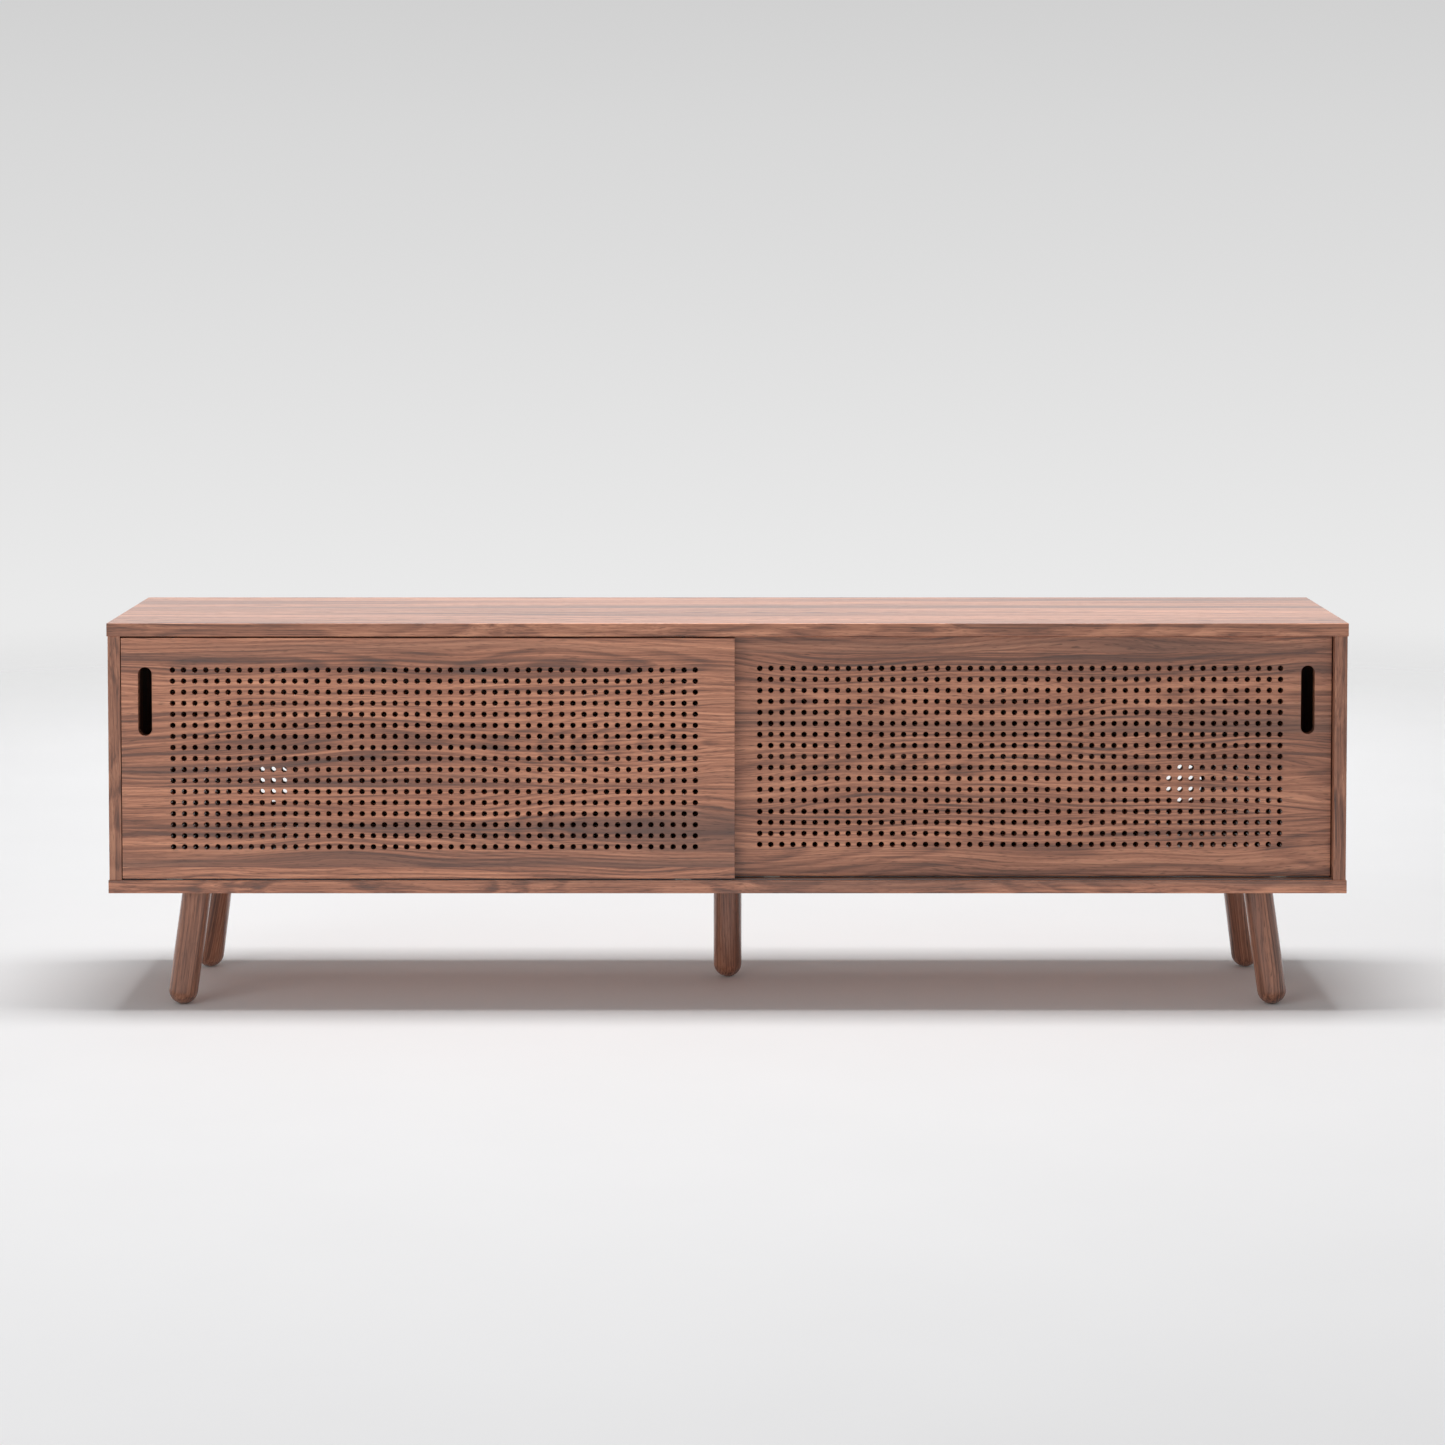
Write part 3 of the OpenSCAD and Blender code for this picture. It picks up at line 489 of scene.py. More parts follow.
def easedBoard(node, material, grain, edging=None):
    # A copy of a board, its triangles joined to flat faces, with a bevel on the edges of its box. Edging is
    # the banding glued on the faces that look forwards and back.
    low, high = corners(node)
    work = bmesh.new()
    work.from_mesh(frame["nodes"][node].data)
    bmesh.ops.remove_doubles(work, verts=work.verts, dist=mergeDistance)
    bmesh.ops.dissolve_limit(work, angle_limit=math.radians(boards["flatTurn"]), verts=work.verts,
                             edges=work.edges)
    turns = np.array([edge.calc_face_angle(0.0) for edge in work.edges])
    mesh = bpy.data.meshes.new(node + "_board")
    work.to_mesh(mesh)
    work.free()
    points = meshPoints(mesh)
    numbers = np.empty(len(mesh.edges) * 2, np.int32)
    mesh.edges.foreach_get("vertices", numbers)
    ends = points[numbers.reshape(-1, 2)]
    near = boards["near"]
    onFace = np.concatenate([np.abs(ends - low) < near, np.abs(ends - high) < near], axis=2)
    outer = (onFace.all(axis=1).sum(axis=1) >= 2) & (turns > math.radians(boards["crispTurn"]))
    weight = mesh.attributes.new("bevel_weight_edge", "FLOAT", "EDGE")
    weight.data.foreach_set("value", outer.astype(np.float32))
    mesh.polygons.foreach_set("use_smooth", np.zeros(len(mesh.polygons), bool))
    setGrain(mesh, grain(points))
    piece = finishPiece(node + "_board", mesh, material, "cabinet")
    if edging:
        mesh.materials.append(edging)
        normals = np.empty(len(mesh.polygons) * 3, np.float32)
        mesh.polygons.foreach_get("normal", normals)
        facing = np.abs(normals.reshape(-1, 3)[:, 1]) > 0.9
        mesh.polygons.foreach_set("material_index", facing.astype(np.int32))
    bevel = piece.modifiers.new("eased edges", "BEVEL")
    bevel.limit_method, bevel.width, bevel.segments = "WEIGHT", boards["ease"], 2
    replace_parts(piece, node)
    return piece


def alongX(startX, startY):
    # Grain runs along the cabinet, and the face lies across Y.
    return lambda p: np.stack([p[:, 0] + startX, p[:, 1] + startY, p[:, 2]], axis=1)


def alongXUpright(startX, startZ):
    # Grain runs along the cabinet, and the face stands up.
    return lambda p: np.stack([p[:, 0] + startX, p[:, 2] + startZ, p[:, 1]], axis=1)


def alongZ(startZ, startY):
    # Grain runs upwards, and the face lies across Y.
    return lambda p: np.stack([p[:, 2] + startZ, p[:, 1] + startY, p[:, 0]], axis=1)


# Each board starts at its own place in the log.
easedBoard("top_panel", walnutTopPaintedLight, alongX(3.1, 0.21), walnutEdging)
easedBoard("bottom_panel", walnutVeneer, alongX(9.4, 0.17))
easedBoard("left_side_panel", walnutUprightPaintedShade, alongZ(14.9, 0.21))
easedBoard("right_side_panel", walnutUprightPaintedShade, alongZ(18.6, 0.33))
easedBoard("centre_divider", walnutUprightPaintedShade, alongZ(21.3, 0.02))
easedBoard("left_shelf", walnutVeneer, alongX(25.0, 0.05))
easedBoard("right_shelf", walnutVeneer, alongX(28.6, 0.11))
easedBoard("left_back_panel", walnutVeneer, alongXUpright(32.0, 0.03))
easedBoard("right_back_panel", walnutVeneer, alongXUpright(35.5, 0.08))
print("boards made")


# Doors

door = {
    "columns": 48,
    "rows": 17,
    "holeDiameter": 8 * mm,
    "pitch": 16.13 * mm,
    "margin": 74.6 * mm,        # first column of holes, from the door's outer edge
    "slotWidth": 20 * mm,
    "slotLength": 100 * mm,
    "slotInset": 34.6 * mm,     # the slot's centre line, from the door's outer edge
    "slotSteps": 16,            # along each half circle
    "holeSides": 16,
    "holeEase": 0.35 * mm,      # broken edge round each hole and the slot
    "edgeRadius": 0.7 * mm,     # rounding of the door's own edges
    "edgeSteps": 3,
    "gearInset": 75 * mm,       # a roller's or guide's distance from the nearer end
    "plateLength": 64 * mm,     # the recess for a roller housing's flange
    "plateDepth": 2 * mm,
    "pocketLength": 40 * mm,    # the mortise for the housing itself
    "pocketDepth": 20.3 * mm,
    "pocketWidth": 12 * mm,
    "seat": 0.1 * mm,           # clearance round the housing
    "boreDiameter": 10.1 * mm,  # for a top guide's plug
    "boreDepth": 22.5 * mm,
    "boreSides": 32,
}


def roundedOutline(low, high, radius, steps):
    # Anticlockwise rectangle with quarter circle corners: corner centre + radius (cos, sin) of the turn.
    turn = np.linspace(0, np.pi / 2, steps + 1)[None, :] + np.arange(4)[:, None] * np.pi / 2
    centre = np.array([[high[0] - radius, high[1] - radius], [low[0] + radius, high[1] - radius],
                       [low[0] + radius, low[1] + radius], [high[0] - radius, low[1] + radius]])
    return (centre[:, None, :] + radius * np.stack([np.cos(turn), np.sin(turn)], axis=-1)).reshape(-1, 2)


def capsuleOutline(centre, width, length, grow, steps):
    # Upright slot, anticlockwise: two half circles joined by straight sides, grown all round.
    radius, half = width / 2 + grow, (length - width) / 2
    turn = np.linspace(0, np.pi, steps + 1)
    top = np.stack([radius * np.cos(turn), half + radius * np.sin(turn)], axis=1)
    return np.concatenate([top, -top]) + centre


def faceLoop(outline, depth):
    # An outline on the door's face, at a depth behind its front.
    return np.stack([outline[:, 0], np.full(len(outline), depth), outline[:, 1]], axis=1)


def holeField(spec, rowMargin, thickness):
    # One square cell with a hole: fans of triangles from the cell's corners to the hole's rim, a broken
    # edge, the wall, and the same fans at the back. The cell is then repeated at every column and row.
    sides, radius = spec["holeSides"], spec["holeDiameter"] / 2
    ring = circlePoints(1, sides)
    square = np.array([[1, 1], [-1, 1], [-1, -1], [1, -1]]) * spec["pitch"] / 2
    loops = [faceLoop(square, 0), faceLoop(ring * (radius + spec["holeEase"]), 0),
             faceLoop(ring * radius, spec["holeEase"]), faceLoop(ring * radius, thickness),
             faceLoop(square, thickness)]
    cell = np.concatenate(loops)
    quarter = sides // 4
    step = np.arange(sides)
    corner = step // quarter
    fan = np.stack([corner, 4 + step, 4 + (step + 1) % sides], axis=1)[:, [0, 2, 1]]
    side = np.arange(4)
    bridge = np.stack([side, (side + 1) % 4, 4 + (side + 1) * quarter % sides], axis=1)
    front = np.concatenate([fan, bridge])
    back = np.where(front < 4, front + 4 + 3 * sides, front + 2 * sides)[:, ::-1]
    wall = 4 + gridFaces(3, sides)
    columns, rows = np.meshgrid(np.arange(spec["columns"]), np.arange(spec["rows"]), indexing="ij")
    places = np.stack([spec["margin"] + columns.ravel() * spec["pitch"], np.zeros(columns.size),
                       rowMargin + rows.ravel() * spec["pitch"]], axis=1)
    points = (places[:, None, :] + cell[None, :, :]).reshape(-1, 3)
    shift = np.arange(len(places))[:, None, None] * len(cell)
    flats = [((face[None] + shift).reshape(-1, 3), False) for face in (front, back)]
    return points, flats + [((wall[None] + shift).reshape(-1, 4), True)]


def fieldOutline(spec, rowMargin):
    # The rectangle round all the cells, with a point at every cell's corner.
    half = spec["pitch"] / 2
    u = spec["margin"] - half + np.arange(spec["columns"] + 1) * spec["pitch"]
    w = rowMargin - half + np.arange(spec["rows"] + 1) * spec["pitch"]
    sides = [np.stack([u[:-1], np.full(len(u) - 1, w[0])], axis=1),
             np.stack([np.full(len(w) - 1, u[-1]), w[:-1]], axis=1),
             np.stack([u[:0:-1], np.full(len(u) - 1, w[-1])], axis=1),
             np.stack([np.full(len(w) - 1, u[0]), w[:0:-1]], axis=1)]
    return np.concatenate(sides)


def doorSurface(spec, width, height, thickness):
    # U runs from the outer edge inwards, V from the front back, and W from the lower edge up.
    rowMargin = (height - (spec["rows"] - 1) * spec["pitch"]) / 2
    slotTop = height - rowMargin + spec["holeDiameter"] / 2
    slotMiddle = np.array([spec["slotInset"], slotTop - spec["slotLength"] / 2])
    ease, edge = spec["holeEase"], spec["edgeRadius"]
    parts = [holeField(spec, rowMargin, thickness)]

    # Slot: its rim is broken at the front and at the back.
    wide = capsuleOutline(slotMiddle, spec["slotWidth"], spec["slotLength"], ease, spec["slotSteps"])
    tight = capsuleOutline(slotMiddle, spec["slotWidth"], spec["slotLength"], 0, spec["slotSteps"])
    parts.append(ringStack([faceLoop(wide, 0), faceLoop(tight, ease), faceLoop(tight, thickness - ease),
                            faceLoop(wide, thickness)]))

    # Faces round the field and the slot.
    outline = np.array([[edge, edge], [width - edge, edge], [width - edge, height - edge],
                        [edge, height - edge]])
    field = fieldOutline(spec, rowMargin)
    flat, triangles = flatFace(outline, [field, wide])
    parts.append((faceLoop(flat, 0), [(triangles, False)]))
    parts.append((faceLoop(flat, thickness), [(triangles[:, ::-1], False)]))

    # Edges: a quarter round at the front and at the back. Each loop is the outline set in by
    # edge (1 - sin turn) at a depth of edge (1 - cos turn).
    turns = np.linspace(0, np.pi / 2, spec["edgeSteps"] + 1)
    loops = []
    for turn in turns:
        inset = edge * (1 - math.sin(turn))
        loops.append(faceLoop(roundedOutline((inset, inset), (width - inset, height - inset), edge - inset,
                                             spec["edgeSteps"]), edge * (1 - math.cos(turn))))
    backLoops = [loop * (1, -1, 1) + (0, thickness, 0) for loop in loops[::-1]]
    parts += [turnedOver(ringStack(loops)), turnedOver(ringStack(backLoops))]
    band, faces = turnedOver(ringStack([loops[-1], backLoops[0]]))
    arc = spec["edgeSteps"] + 1
    upper, lower = arc - 1, 3 * arc - 1     # the quads along the door's upper and lower edges
    parts.append((band, [(np.delete(faces[0][0], [upper, lower], axis=0), False)]))

    # The lower edge has two stepped mortises for the roller housings.
    seat, middle = spec["seat"], thickness / 2
    gear = [spec["gearInset"], width - spec["gearInset"]]
    depths = (edge, thickness - edge)
    strip = np.array([[edge, depths[0]], [width - edge, depths[0]], [width - edge, depths[1]],
                      [edge, depths[1]]])
    halfPlate, halfPocket = spec["plateLength"] / 2 + seat, spec["pocketLength"] / 2 + seat
    halfWide = spec["pocketWidth"] / 2 + seat
    mouth = np.array([[-halfPlate, -halfWide], [halfPlate, -halfWide], [halfPlate, halfWide],
                      [-halfPlate, halfWide]])
    mouths = [mouth + (g, middle) for g in gear]
    flat, triangles = flatFace(strip, mouths)
    parts.append((np.column_stack([flat, np.zeros(len(flat))]), [(triangles[:, ::-1], False)]))
    step, deep = spec["plateDepth"], spec["pocketDepth"]
    section = np.array([[-halfPlate, 0], [-halfPlate, step], [-halfPocket, step], [-halfPocket, deep],
                        [halfPocket, deep], [halfPocket, step], [halfPlate, step], [halfPlate, 0]])
    for g in gear:
        size = len(section)
        front = np.stack([section[:, 0] + g, np.full(size, middle - halfWide), section[:, 1]], axis=1)
        back = front + (0, 2 * halfWide, 0)
        across = gridFaces(2, size, closed=False)[:, ::-1]
        ends = [(np.arange(size)[None, :], False), (np.arange(2 * size - 1, size - 1, -1)[None, :], False)]
        parts.append((np.concatenate([front, back]), [(across, False), *ends]))

    # The upper edge has two bores for the guides.
    circle = circlePoints(spec["boreDiameter"] / 2, spec["boreSides"])
    flat, triangles = flatFace(strip, [circle + (g, middle) for g in gear])
    parts.append((np.column_stack([flat, np.full(len(flat), height)]), [(triangles, False)]))
    for g in gear:
        rim = np.column_stack([circle + (g, middle), np.full(len(circle), height)])
        parts.append(ringStack([rim, rim - (0, 0, spec["boreDepth"])], capLast=True))
    return weldSurface(joinSurfaces(parts))


def makeDoor(node, material, mirrored, grain):
    # A door's surface runs from its outer edge, so the right one is mirrored.
    low, high = corners(node)
    width, thickness, height = high - low
    surface = doorSurface(door, width, height, thickness)
    origin = (high[0], low[1], low[2]) if mirrored else low
    surface = placed(surface, origin, (-1 if mirrored else 1, 0, 0), (0, 1, 0), (0, 0, 1))
    piece = makePiece(node + "_leaf", surface, material, node, grain)
    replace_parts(piece, node)


# Each door's veneer leaves are laid so that a seam falls at its own height.
makeDoor("left_door", walnutVeneer, False, alongXUpright(5.2, -0.094))
makeDoor("right_door", walnutRearPaintedShade, True, alongXUpright(12.9, -0.054))
print("doors made")


# Legs

leg = {
    "sides": 72,
    "footRings": 14,
    "shaftShares": (0.25, 0.5, 0.75, 1.0),    # where rings lie along the shaft
    "plateThickness": 2.5 * mm,
    "logStart": (40.0, 0.0, 0.045),    # where the first leg lies in the log, and how far on the next one is
    "logStep": (3.3, 0.31, 0.0),
}


def legSurface(spec, foot, top, radius, cutHeight):
    # A hemisphere and a cylinder about the line from the foot's centre to the top, ended by a level cut:
    # on each line of the cylinder the last point is where foot + radius * out + run * axis reaches the cut.
    reach = top - foot
    axis = reach / np.linalg.norm(reach)
    side = np.cross(axis, (0, 1, 0)) / np.linalg.norm(np.cross(axis, (0, 1, 0)))
    other = np.cross(axis, side)
    ring = circlePoints(1, spec["sides"])
    out = ring[:, 0:1] * side + ring[:, 1:2] * other
    turns = np.linspace(0, np.pi / 2, spec["footRings"])
    ball = foot + radius * (np.sin(turns)[:, None, None] * out - np.cos(turns)[:, None, None] * axis)
    run = (cutHeight - foot[2] - radius * out[:, 2]) / axis[2]
    shares = np.array(spec["shaftShares"])[:, None, None]
    shaft = foot + radius * out + shares * run[:, None] * axis
    points, faces = ringStack(np.concatenate([ball, shaft]), capLast=True)
    return weldSurface((points, faces)), np.array([axis, side, other])


def makeLeg(name, index, radius):
    # A corner leg leans outwards, so its box's outer corner gives its foot. The centre leg is upright.
    low, high = corners(name)
    plateLow, plateHigh = corners(name + "_plate")
    top = np.array([*(plateLow + plateHigh)[:2] / 2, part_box("bottom_panel")[0][2]])
    outward = np.sign(top[:2])
    foot = np.array([low[0] + radius if outward[0] < 0 else high[0] - radius,
                     low[1] + radius if outward[1] < 0 else high[1] - radius, radius])
    if name == "centre_leg":
        foot[:2] = top[:2]
    surface, axes = legSurface(leg, foot, top, radius, top[2] - leg["plateThickness"])

    def grain(points):  # it runs up the leg, and each leg is turned from its own stretch of wood
        return (points - foot) @ axes.T + leg["logStart"] + index * np.array(leg["logStep"])

    piece = makePiece(name + "_turned", surface, walnutSolid, "cabinet", grain)
    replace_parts(piece, name)


centreLow, centreHigh = corners("centre_leg")
legRadius = (centreHigh[0] - centreLow[0]) / 2
legNames = ["front_left_leg", "front_right_leg", "back_left_leg", "back_right_leg", "centre_leg"]
for index, name in enumerate(legNames):
    makeLeg(name, index, legRadius)
print("legs made")


# Screws

screw = {
    "sides": 24,
    "crossLength": 0.56,     # of the head's diameter
    "crossWidth": 0.13,
    "crossTaper": 0.7,       # the recess narrows to this at its floor
    "crossDepth": 0.62,      # of the head's height
    "tip": 1.5 * mm,
    # For each node: body, shank diameter, head diameter, head height, and whether the head is a dome that
    # stands on the face.
    "groups": {
        "back_panel_screws": ("cabinet", 3 * mm, 6 * mm, 1.8 * mm, True),
        "leg_plate_screws": ("cabinet", 3.5 * mm, 6.4 * mm, 1.8 * mm, False),
        "track_screws": ("cabinet", 3 * mm, 5.4 * mm, 1.2 * mm, False),
        "left_door_roller_screws": ("left_door", 3 * mm, 5.6 * mm, 1.3 * mm, False),
        "right_door_roller_screws": ("right_door", 3 * mm, 5.6 * mm, 1.3 * mm, False),
    },
}


def crossOutline(length, width):
    # Twenty four points round a cross, in step with a circle's: each quarter runs from the middle of one
    # arm's end, round its corner, in to the crossing, and out along the next arm.
    half, arm = width / 2, length / 2
    quarter = np.array([[arm, 0], [arm, half], [(arm + half) / 2, half], [half, half],
                        [half, (arm + half) / 2], [half, arm]])
    turned = [quarter]
    for _ in range(3):
        turned.append(turned[-1] @ np.array([[0, 1], [-1, 0]]))
    return np.concatenate(turned)


def screwSurface(spec, shank, head, headHeight, length, domed):
    # Z runs into the wood from the face that the head sits on or is sunk into. The wall starts on the
    # recess's floor, comes out of the recess, crosses the head, and follows the shank to its point.
    face = -headHeight if domed else 0.0
    cross = crossOutline(spec["crossLength"] * head, spec["crossWidth"] * head)
    if domed:
        outline = [(0.62, -1.0), (0.86, -0.86), (0.97, -0.5), (1.0, -0.15), (1.0, 0.0)]
        profile = [(head / 2 * r, headHeight * z) for r, z in outline] + [(shank / 2, 0.0)]
    else:
        profile = [(head / 2 * 0.97, 0.0), (head / 2, 0.08 * headHeight), (shank / 2, headHeight)]
    profile += [(shank / 2, length - spec["tip"]), (0.1 * shank, length - 0.1 * mm), (0.0, length)]
    flat = [(cross * spec["crossTaper"], face + spec["crossDepth"] * headHeight), (cross, face)]
    flat += [(circlePoints(radius, spec["sides"]), z) for radius, z in profile]
    loops = [np.column_stack([outline, np.full(spec["sides"], z)]) for outline, z in flat]
    return weldSurface(ringStack(loops, capFirst=True))


def solidBoxes(node):
    # The boxes of a node's separate solids: welds its triangles' corners, then lets the smallest number
    # spread over the triangles until each solid has one number of its own.
    mesh = frame["nodes"][node].data
    points = meshPoints(mesh)
    numbers = np.empty(len(mesh.loops), np.int32)
    mesh.loops.foreach_get("vertex_index", numbers)
    _, same = np.unique(np.round(points / mergeDistance).astype(np.int64), axis=0, return_inverse=True)
    triangles = same.reshape(-1)[numbers].reshape(-1, 3)
    label = np.arange(same.max() + 1)
    while True:
        lowest = label[triangles].min(axis=1)
        spread = label.copy()
        for corner in range(3):
            np.minimum.at(spread, triangles[:, corner], lowest)
        spread = spread[spread]
        if (spread == label).all():
            break
        label = spread
    owner = label[same.reshape(-1)]
    solids = [points[owner == one] for one in np.unique(owner)]
    return [(solid.min(axis=0), solid.max(axis=0)) for solid in solids]


def makeScrews(node, body, shank, head, headHeight, domed):
    # Puts one screw in each solid's place. The bottom tracks' screws point down, the back panels' forwards,
    # and all others up.
    middle = (cadBox[0][2] + cadBox[1][2]) / 2
    parts = []
    for low, high in solidBoxes(node):
        centre, size = (low + high) / 2, high - low
        if domed:
            place, axes = (centre[0], high[1] - headHeight, centre[2]), ((1, 0, 0), (0, 0, 1), (0, -1, 0))
            length = size[1] - headHeight
        elif node == "track_screws" and centre[2] < middle:
            place, axes, length = (*centre[:2], high[2]), ((1, 0, 0), (0, -1, 0), (0, 0, -1)), size[2]
        else:
            place, axes, length = (*centre[:2], low[2]), ((1, 0, 0), (0, 1, 0), (0, 0, 1)), size[2]
        parts.append(placed(screwSurface(screw, shank, head, headHeight, length, domed), place, *axes))
    piece = makePiece(node + "_cross_recessed", joinSurfaces(parts), zincPlate, body)
    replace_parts(piece, node)


for node, group in screw["groups"].items():
    makeScrews(node, *group)
print("screws made")


# Rollers and guides

guide = {
    "sides": 48,
    "pinRadius": 2.5 * mm,
    "ease": 0.5 * mm,
}

roller = {
    "sides": 64,
    "bore": 2.06 * mm,
    "hub": 5 * mm,
    "rim": 10 * mm,          # where the web meets the rim
    "recess": 1 * mm,
    "ease": 0.5 * mm,
}


def rollerSurface(spec, radius, width):
    # A closed profile turned about its axle: up the tread with its eased edges, over the rim, the sunk web
    # and the hub, and back down the bore.
    half, ease, web = width / 2, spec["ease"], width / 2 - spec["recess"]
    side = [(radius - ease, half), (spec["rim"] + 0.3 * ease, half), (spec["rim"] - 0.3 * ease, web),
            (spec["hub"] + 0.3 * ease, web), (spec["hub"] - 0.3 * ease, half),
            (spec["bore"] + 0.5 * ease, half), (spec["bore"], half - 0.5 * ease)]
    tread = [(radius - 0.3 * ease, half - 0.3 * ease), (radius, half - ease)]
    upper = tread[::-1] + side
    lower = [(r, -z) for r, z in upper[::-1]]
    return latheSurface(lower + upper + lower[:1], spec["sides"])


def guideSurface(spec, radius, plugTop, low, high):
    # A plug and a pin with a rounded end, turned about Z.
    ease, pin = spec["ease"], spec["pinRadius"]
    plug = [(0, low), (radius - ease, low), (radius, low + ease), (radius, plugTop), (pin, plugTop)]
    end = [(pin, high - 2 * ease), (pin - 0.3 * ease, high - ease), (pin - ease, high - 0.3 * ease),
           (pin - 2 * ease, high), (0, high)]
    return latheSurface(plug + end, spec["sides"])


def makeRoller(node):
    # The profile's height lies along Y, which is the axle. The body is the one that holds the node.
    low, high = corners(node)
    surface = rollerSurface(roller, (high[2] - low[2]) / 2, high[1] - low[1])
    surface = placed(surface, (low + high) / 2, (1, 0, 0), (0, 0, 1), (0, -1, 0))
    bodies = frame["record"]["behaviour"]["bodies"]
    body = next(name for name, nodes in bodies.items() if node in nodes)
    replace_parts(makePiece(node + "_turned", surface, whiteAcetal, body), node)


def makeGuides(doorName):
    # One guide in each of the node's solids, its plug sunk in the door's upper edge.
    node = doorName + "_top_guides"
    plugs = []
    for low, high in solidBoxes(node):
        centre = (low + high) / 2
        surface = guideSurface(guide, (high[0] - low[0]) / 2, corners(doorName)[1][2], low[2], high[2])
        plugs.append(placed(surface, (*centre[:2], 0), (1, 0, 0), (0, 1, 0), (0, 0, 1)))
    piece = makePiece(node + "_turned", joinSurfaces(plugs), blackNylon, doorName)
    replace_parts(piece, node)


for doorName in ("left_door", "right_door"):
    makeRoller(doorName + "_outer_wheel")
    makeRoller(doorName + "_inner_wheel")
    makeGuides(doorName)
print("rollers and guides made")


# Hardware that keeps its shape from the frame

finishes = {
    anodisedAluminium: ["front_top_track", "rear_top_track", "front_bottom_track", "rear_bottom_track"],
    zincPlate: [*(name + "_plate" for name in legNames), "leg_bolts", "shelf_pins", "left_door_roller_axles",
                "right_door_roller_axles", "cam_bolts"],
    castZinc: ["cam_fittings"],
    blackNylon: ["left_door_roller_housings", "right_door_roller_housings"],
    blackRubber: ["track_stops"],
    walnutSolid: ["dowels"],
}
for material, names in finishes.items():
    for name in names:
        for slot in frame["nodes"][name].material_slots:
            slot.material = material
print("hardware finished")


# Studio

studio = {
    "floorRadius": 6.0,
    "floorRings": 40,
    "floorSides": 96,
    "floorSolid": 2.3,       # the floor is whole to here and fades to its edge
    "floorColour": "#ebebec",
    # Name, place, target, size, watts and spread in degrees.
    "softboxes": [
        ("overhead softbox", (0, 0, 4.6), (0, 0, 0), (2.6, 1.2), 168, 180),
        ("backdrop softbox", (0, 3.3, 4.2), (0, 3.3, 0), (5.0, 1.6), 28, 80),
        ("left fill", (-3.2, -4.4, 2.6), (0, 0, 0.35), (3.4, 3.4), 60, 180),
    ],
    # The surround's greys from 14 degrees below the horizon to 14 above it.
    "surroundRise": 0.25,
    "surround": [(0.0, "#eeeeee"), (0.31, "#eaeaea"), (0.42, "#e2e2e2"), (0.50, "#dcdcdc"), (0.56, "#d8d8d8"),
                 (0.63, "#d1d1d1"), (0.74, "#ededed"), (0.92, "#f6f6f6"), (1.0, "#909090")],
}


def floorMaterial(look):
    # Matt painted studio floor, a little mottled, that fades out far from the object.
    material, tree, shader = newMaterial("matt studio floor")
    place = addNode(tree, "ShaderNodeTexCoord").outputs["Object"]
    mottle = addNode(tree, "ShaderNodeTexNoise", {"Vector": place, "Scale": 3.0, "Detail": 4.0}).outputs[0]
    base = np.array(linear(look["floorColour"]))
    tint = addNode(tree, "ShaderNodeValToRGB", {0: mottle})
    setRamp(tint, [(0.3, (*(base[:3] * 0.985).tolist(), 1)), (0.7, (*base[:3].tolist(), 1))])
    distance = addNode(tree, "ShaderNodeVectorMath", {0: place}, operation="LENGTH").outputs["Value"]
    edge = look["floorRadius"] * 0.96
    fade = addNode(tree, "ShaderNodeMapRange", {0: distance, 1: look["floorSolid"], 2: edge, 3: 1.0, 4: 0.0},
                   interpolation_type="SMOOTHSTEP").outputs[0]
    tree.links.new(tint.outputs[0], shader.inputs["Base Color"])
    tree.links.new(fade, shader.inputs["Alpha"])
    shader.inputs["Roughness"].default_value = 0.85
    return material


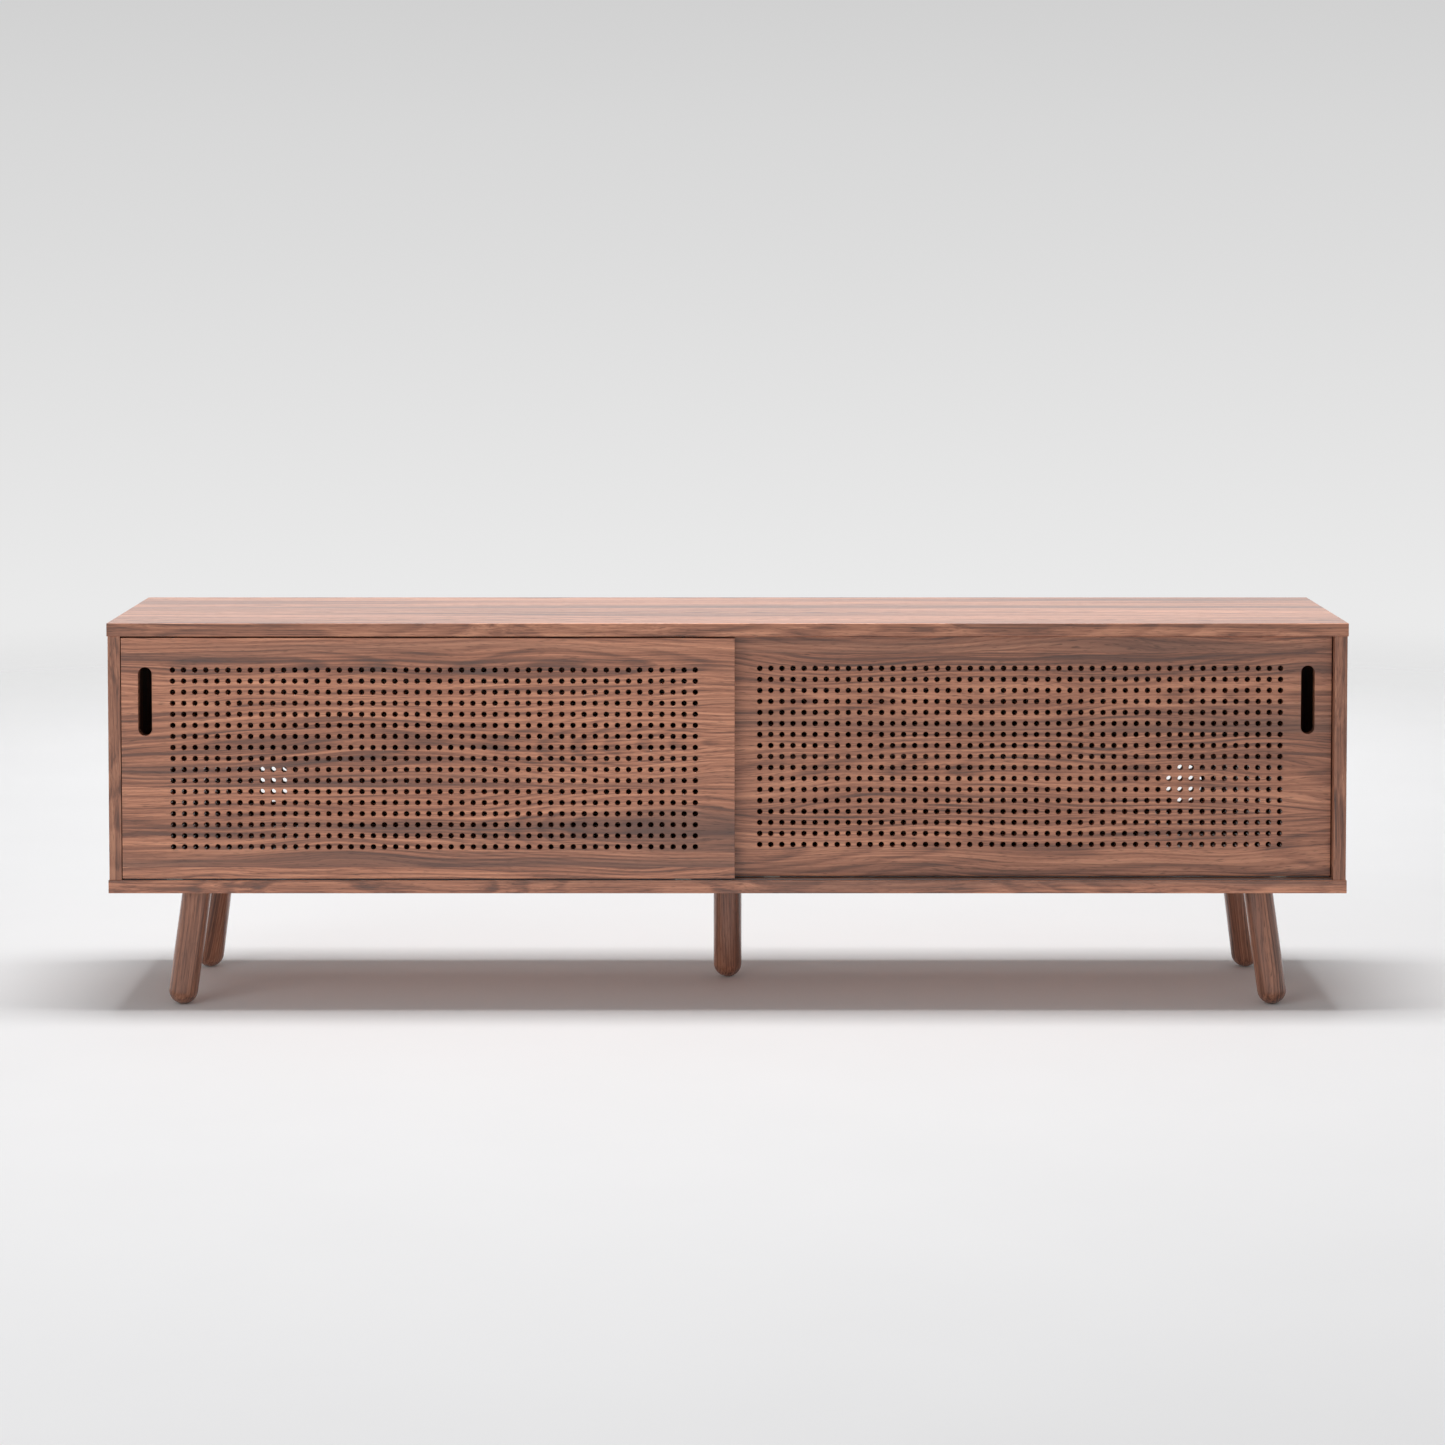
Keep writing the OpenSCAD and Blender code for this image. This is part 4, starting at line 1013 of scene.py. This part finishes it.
def floorDisc(look):
    # Level rings about the origin, closer together near the middle.
    radii = look["floorRadius"] * np.linspace(0, 1, look["floorRings"]) ** 1.5
    profile = np.stack([radii[::-1], np.full(len(radii), -0.05 * mm)], axis=1)
    points, faces = latheSurface(profile, look["floorSides"])
    mesh = bpy.data.meshes.new("floor")
    mesh.from_pydata(points.tolist(), [], [row for f, _ in faces for row in f.tolist()])
    mesh.materials.append(floorMaterial(look))
    disc = bpy.data.objects.new("floor", mesh)
    bpy.context.scene.collection.objects.link(disc)


floorDisc(studio)


def softbox(name, place, target, size, watts, spread):
    # A rectangular light that faces its target.
    lamp = bpy.data.lights.new(name, "AREA")
    lamp.shape, lamp.size, lamp.size_y, lamp.energy = "RECTANGLE", size[0], size[1], watts
    lamp.spread = math.radians(spread)
    holder = bpy.data.objects.new(name, lamp)
    holder.location = place
    holder.rotation_euler = (Vector(target) - Vector(place)).to_track_quat("-Z", "Y").to_euler()
    bpy.context.scene.collection.objects.link(holder)


for light in studio["softboxes"]:
    softbox(*light)


def surroundWorld(look):
    # A cyclorama's soft gradient by the height of the direction: bright below, greyer above the horizon.
    world = bpy.data.worlds.new("studio surround")
    bpy.context.scene.world = world
    world.use_nodes = True
    tree = world.node_tree
    direction = addNode(tree, "ShaderNodeTexCoord").outputs["Generated"]
    rise = addNode(tree, "ShaderNodeSeparateXYZ", {0: direction}).outputs["Z"]
    share = addNode(tree, "ShaderNodeMapRange", {0: rise, 1: -look["surroundRise"], 2: look["surroundRise"]})
    tint = addNode(tree, "ShaderNodeValToRGB", {0: share})
    setRamp(tint, [(position, linear(grey)) for position, grey in look["surround"]])
    tree.links.new(tint.outputs[0], tree.nodes["Background"].inputs["Color"])


surroundWorld(studio)

camera = {
    "place": (0.0, -5.6393, 1.1208),
    "tilt": 2.93,            # degrees below level
    "lens": 93.927,
    "shiftX": -0.00353,
    "shiftY": -0.2,
}
view = bpy.data.cameras.new("camera")
view.lens, view.sensor_width = camera["lens"], 36
view.shift_x, view.shift_y = camera["shiftX"], camera["shiftY"]
holder = bpy.data.objects.new("camera", view)
holder.location = camera["place"]
holder.rotation_euler = (math.radians(90 - camera["tilt"]), 0, 0)
bpy.context.scene.collection.objects.link(holder)
bpy.context.scene.camera = holder
bpy.context.scene.view_settings.view_transform = "Standard"
print("studio set")


bpy.context.view_layer.update()
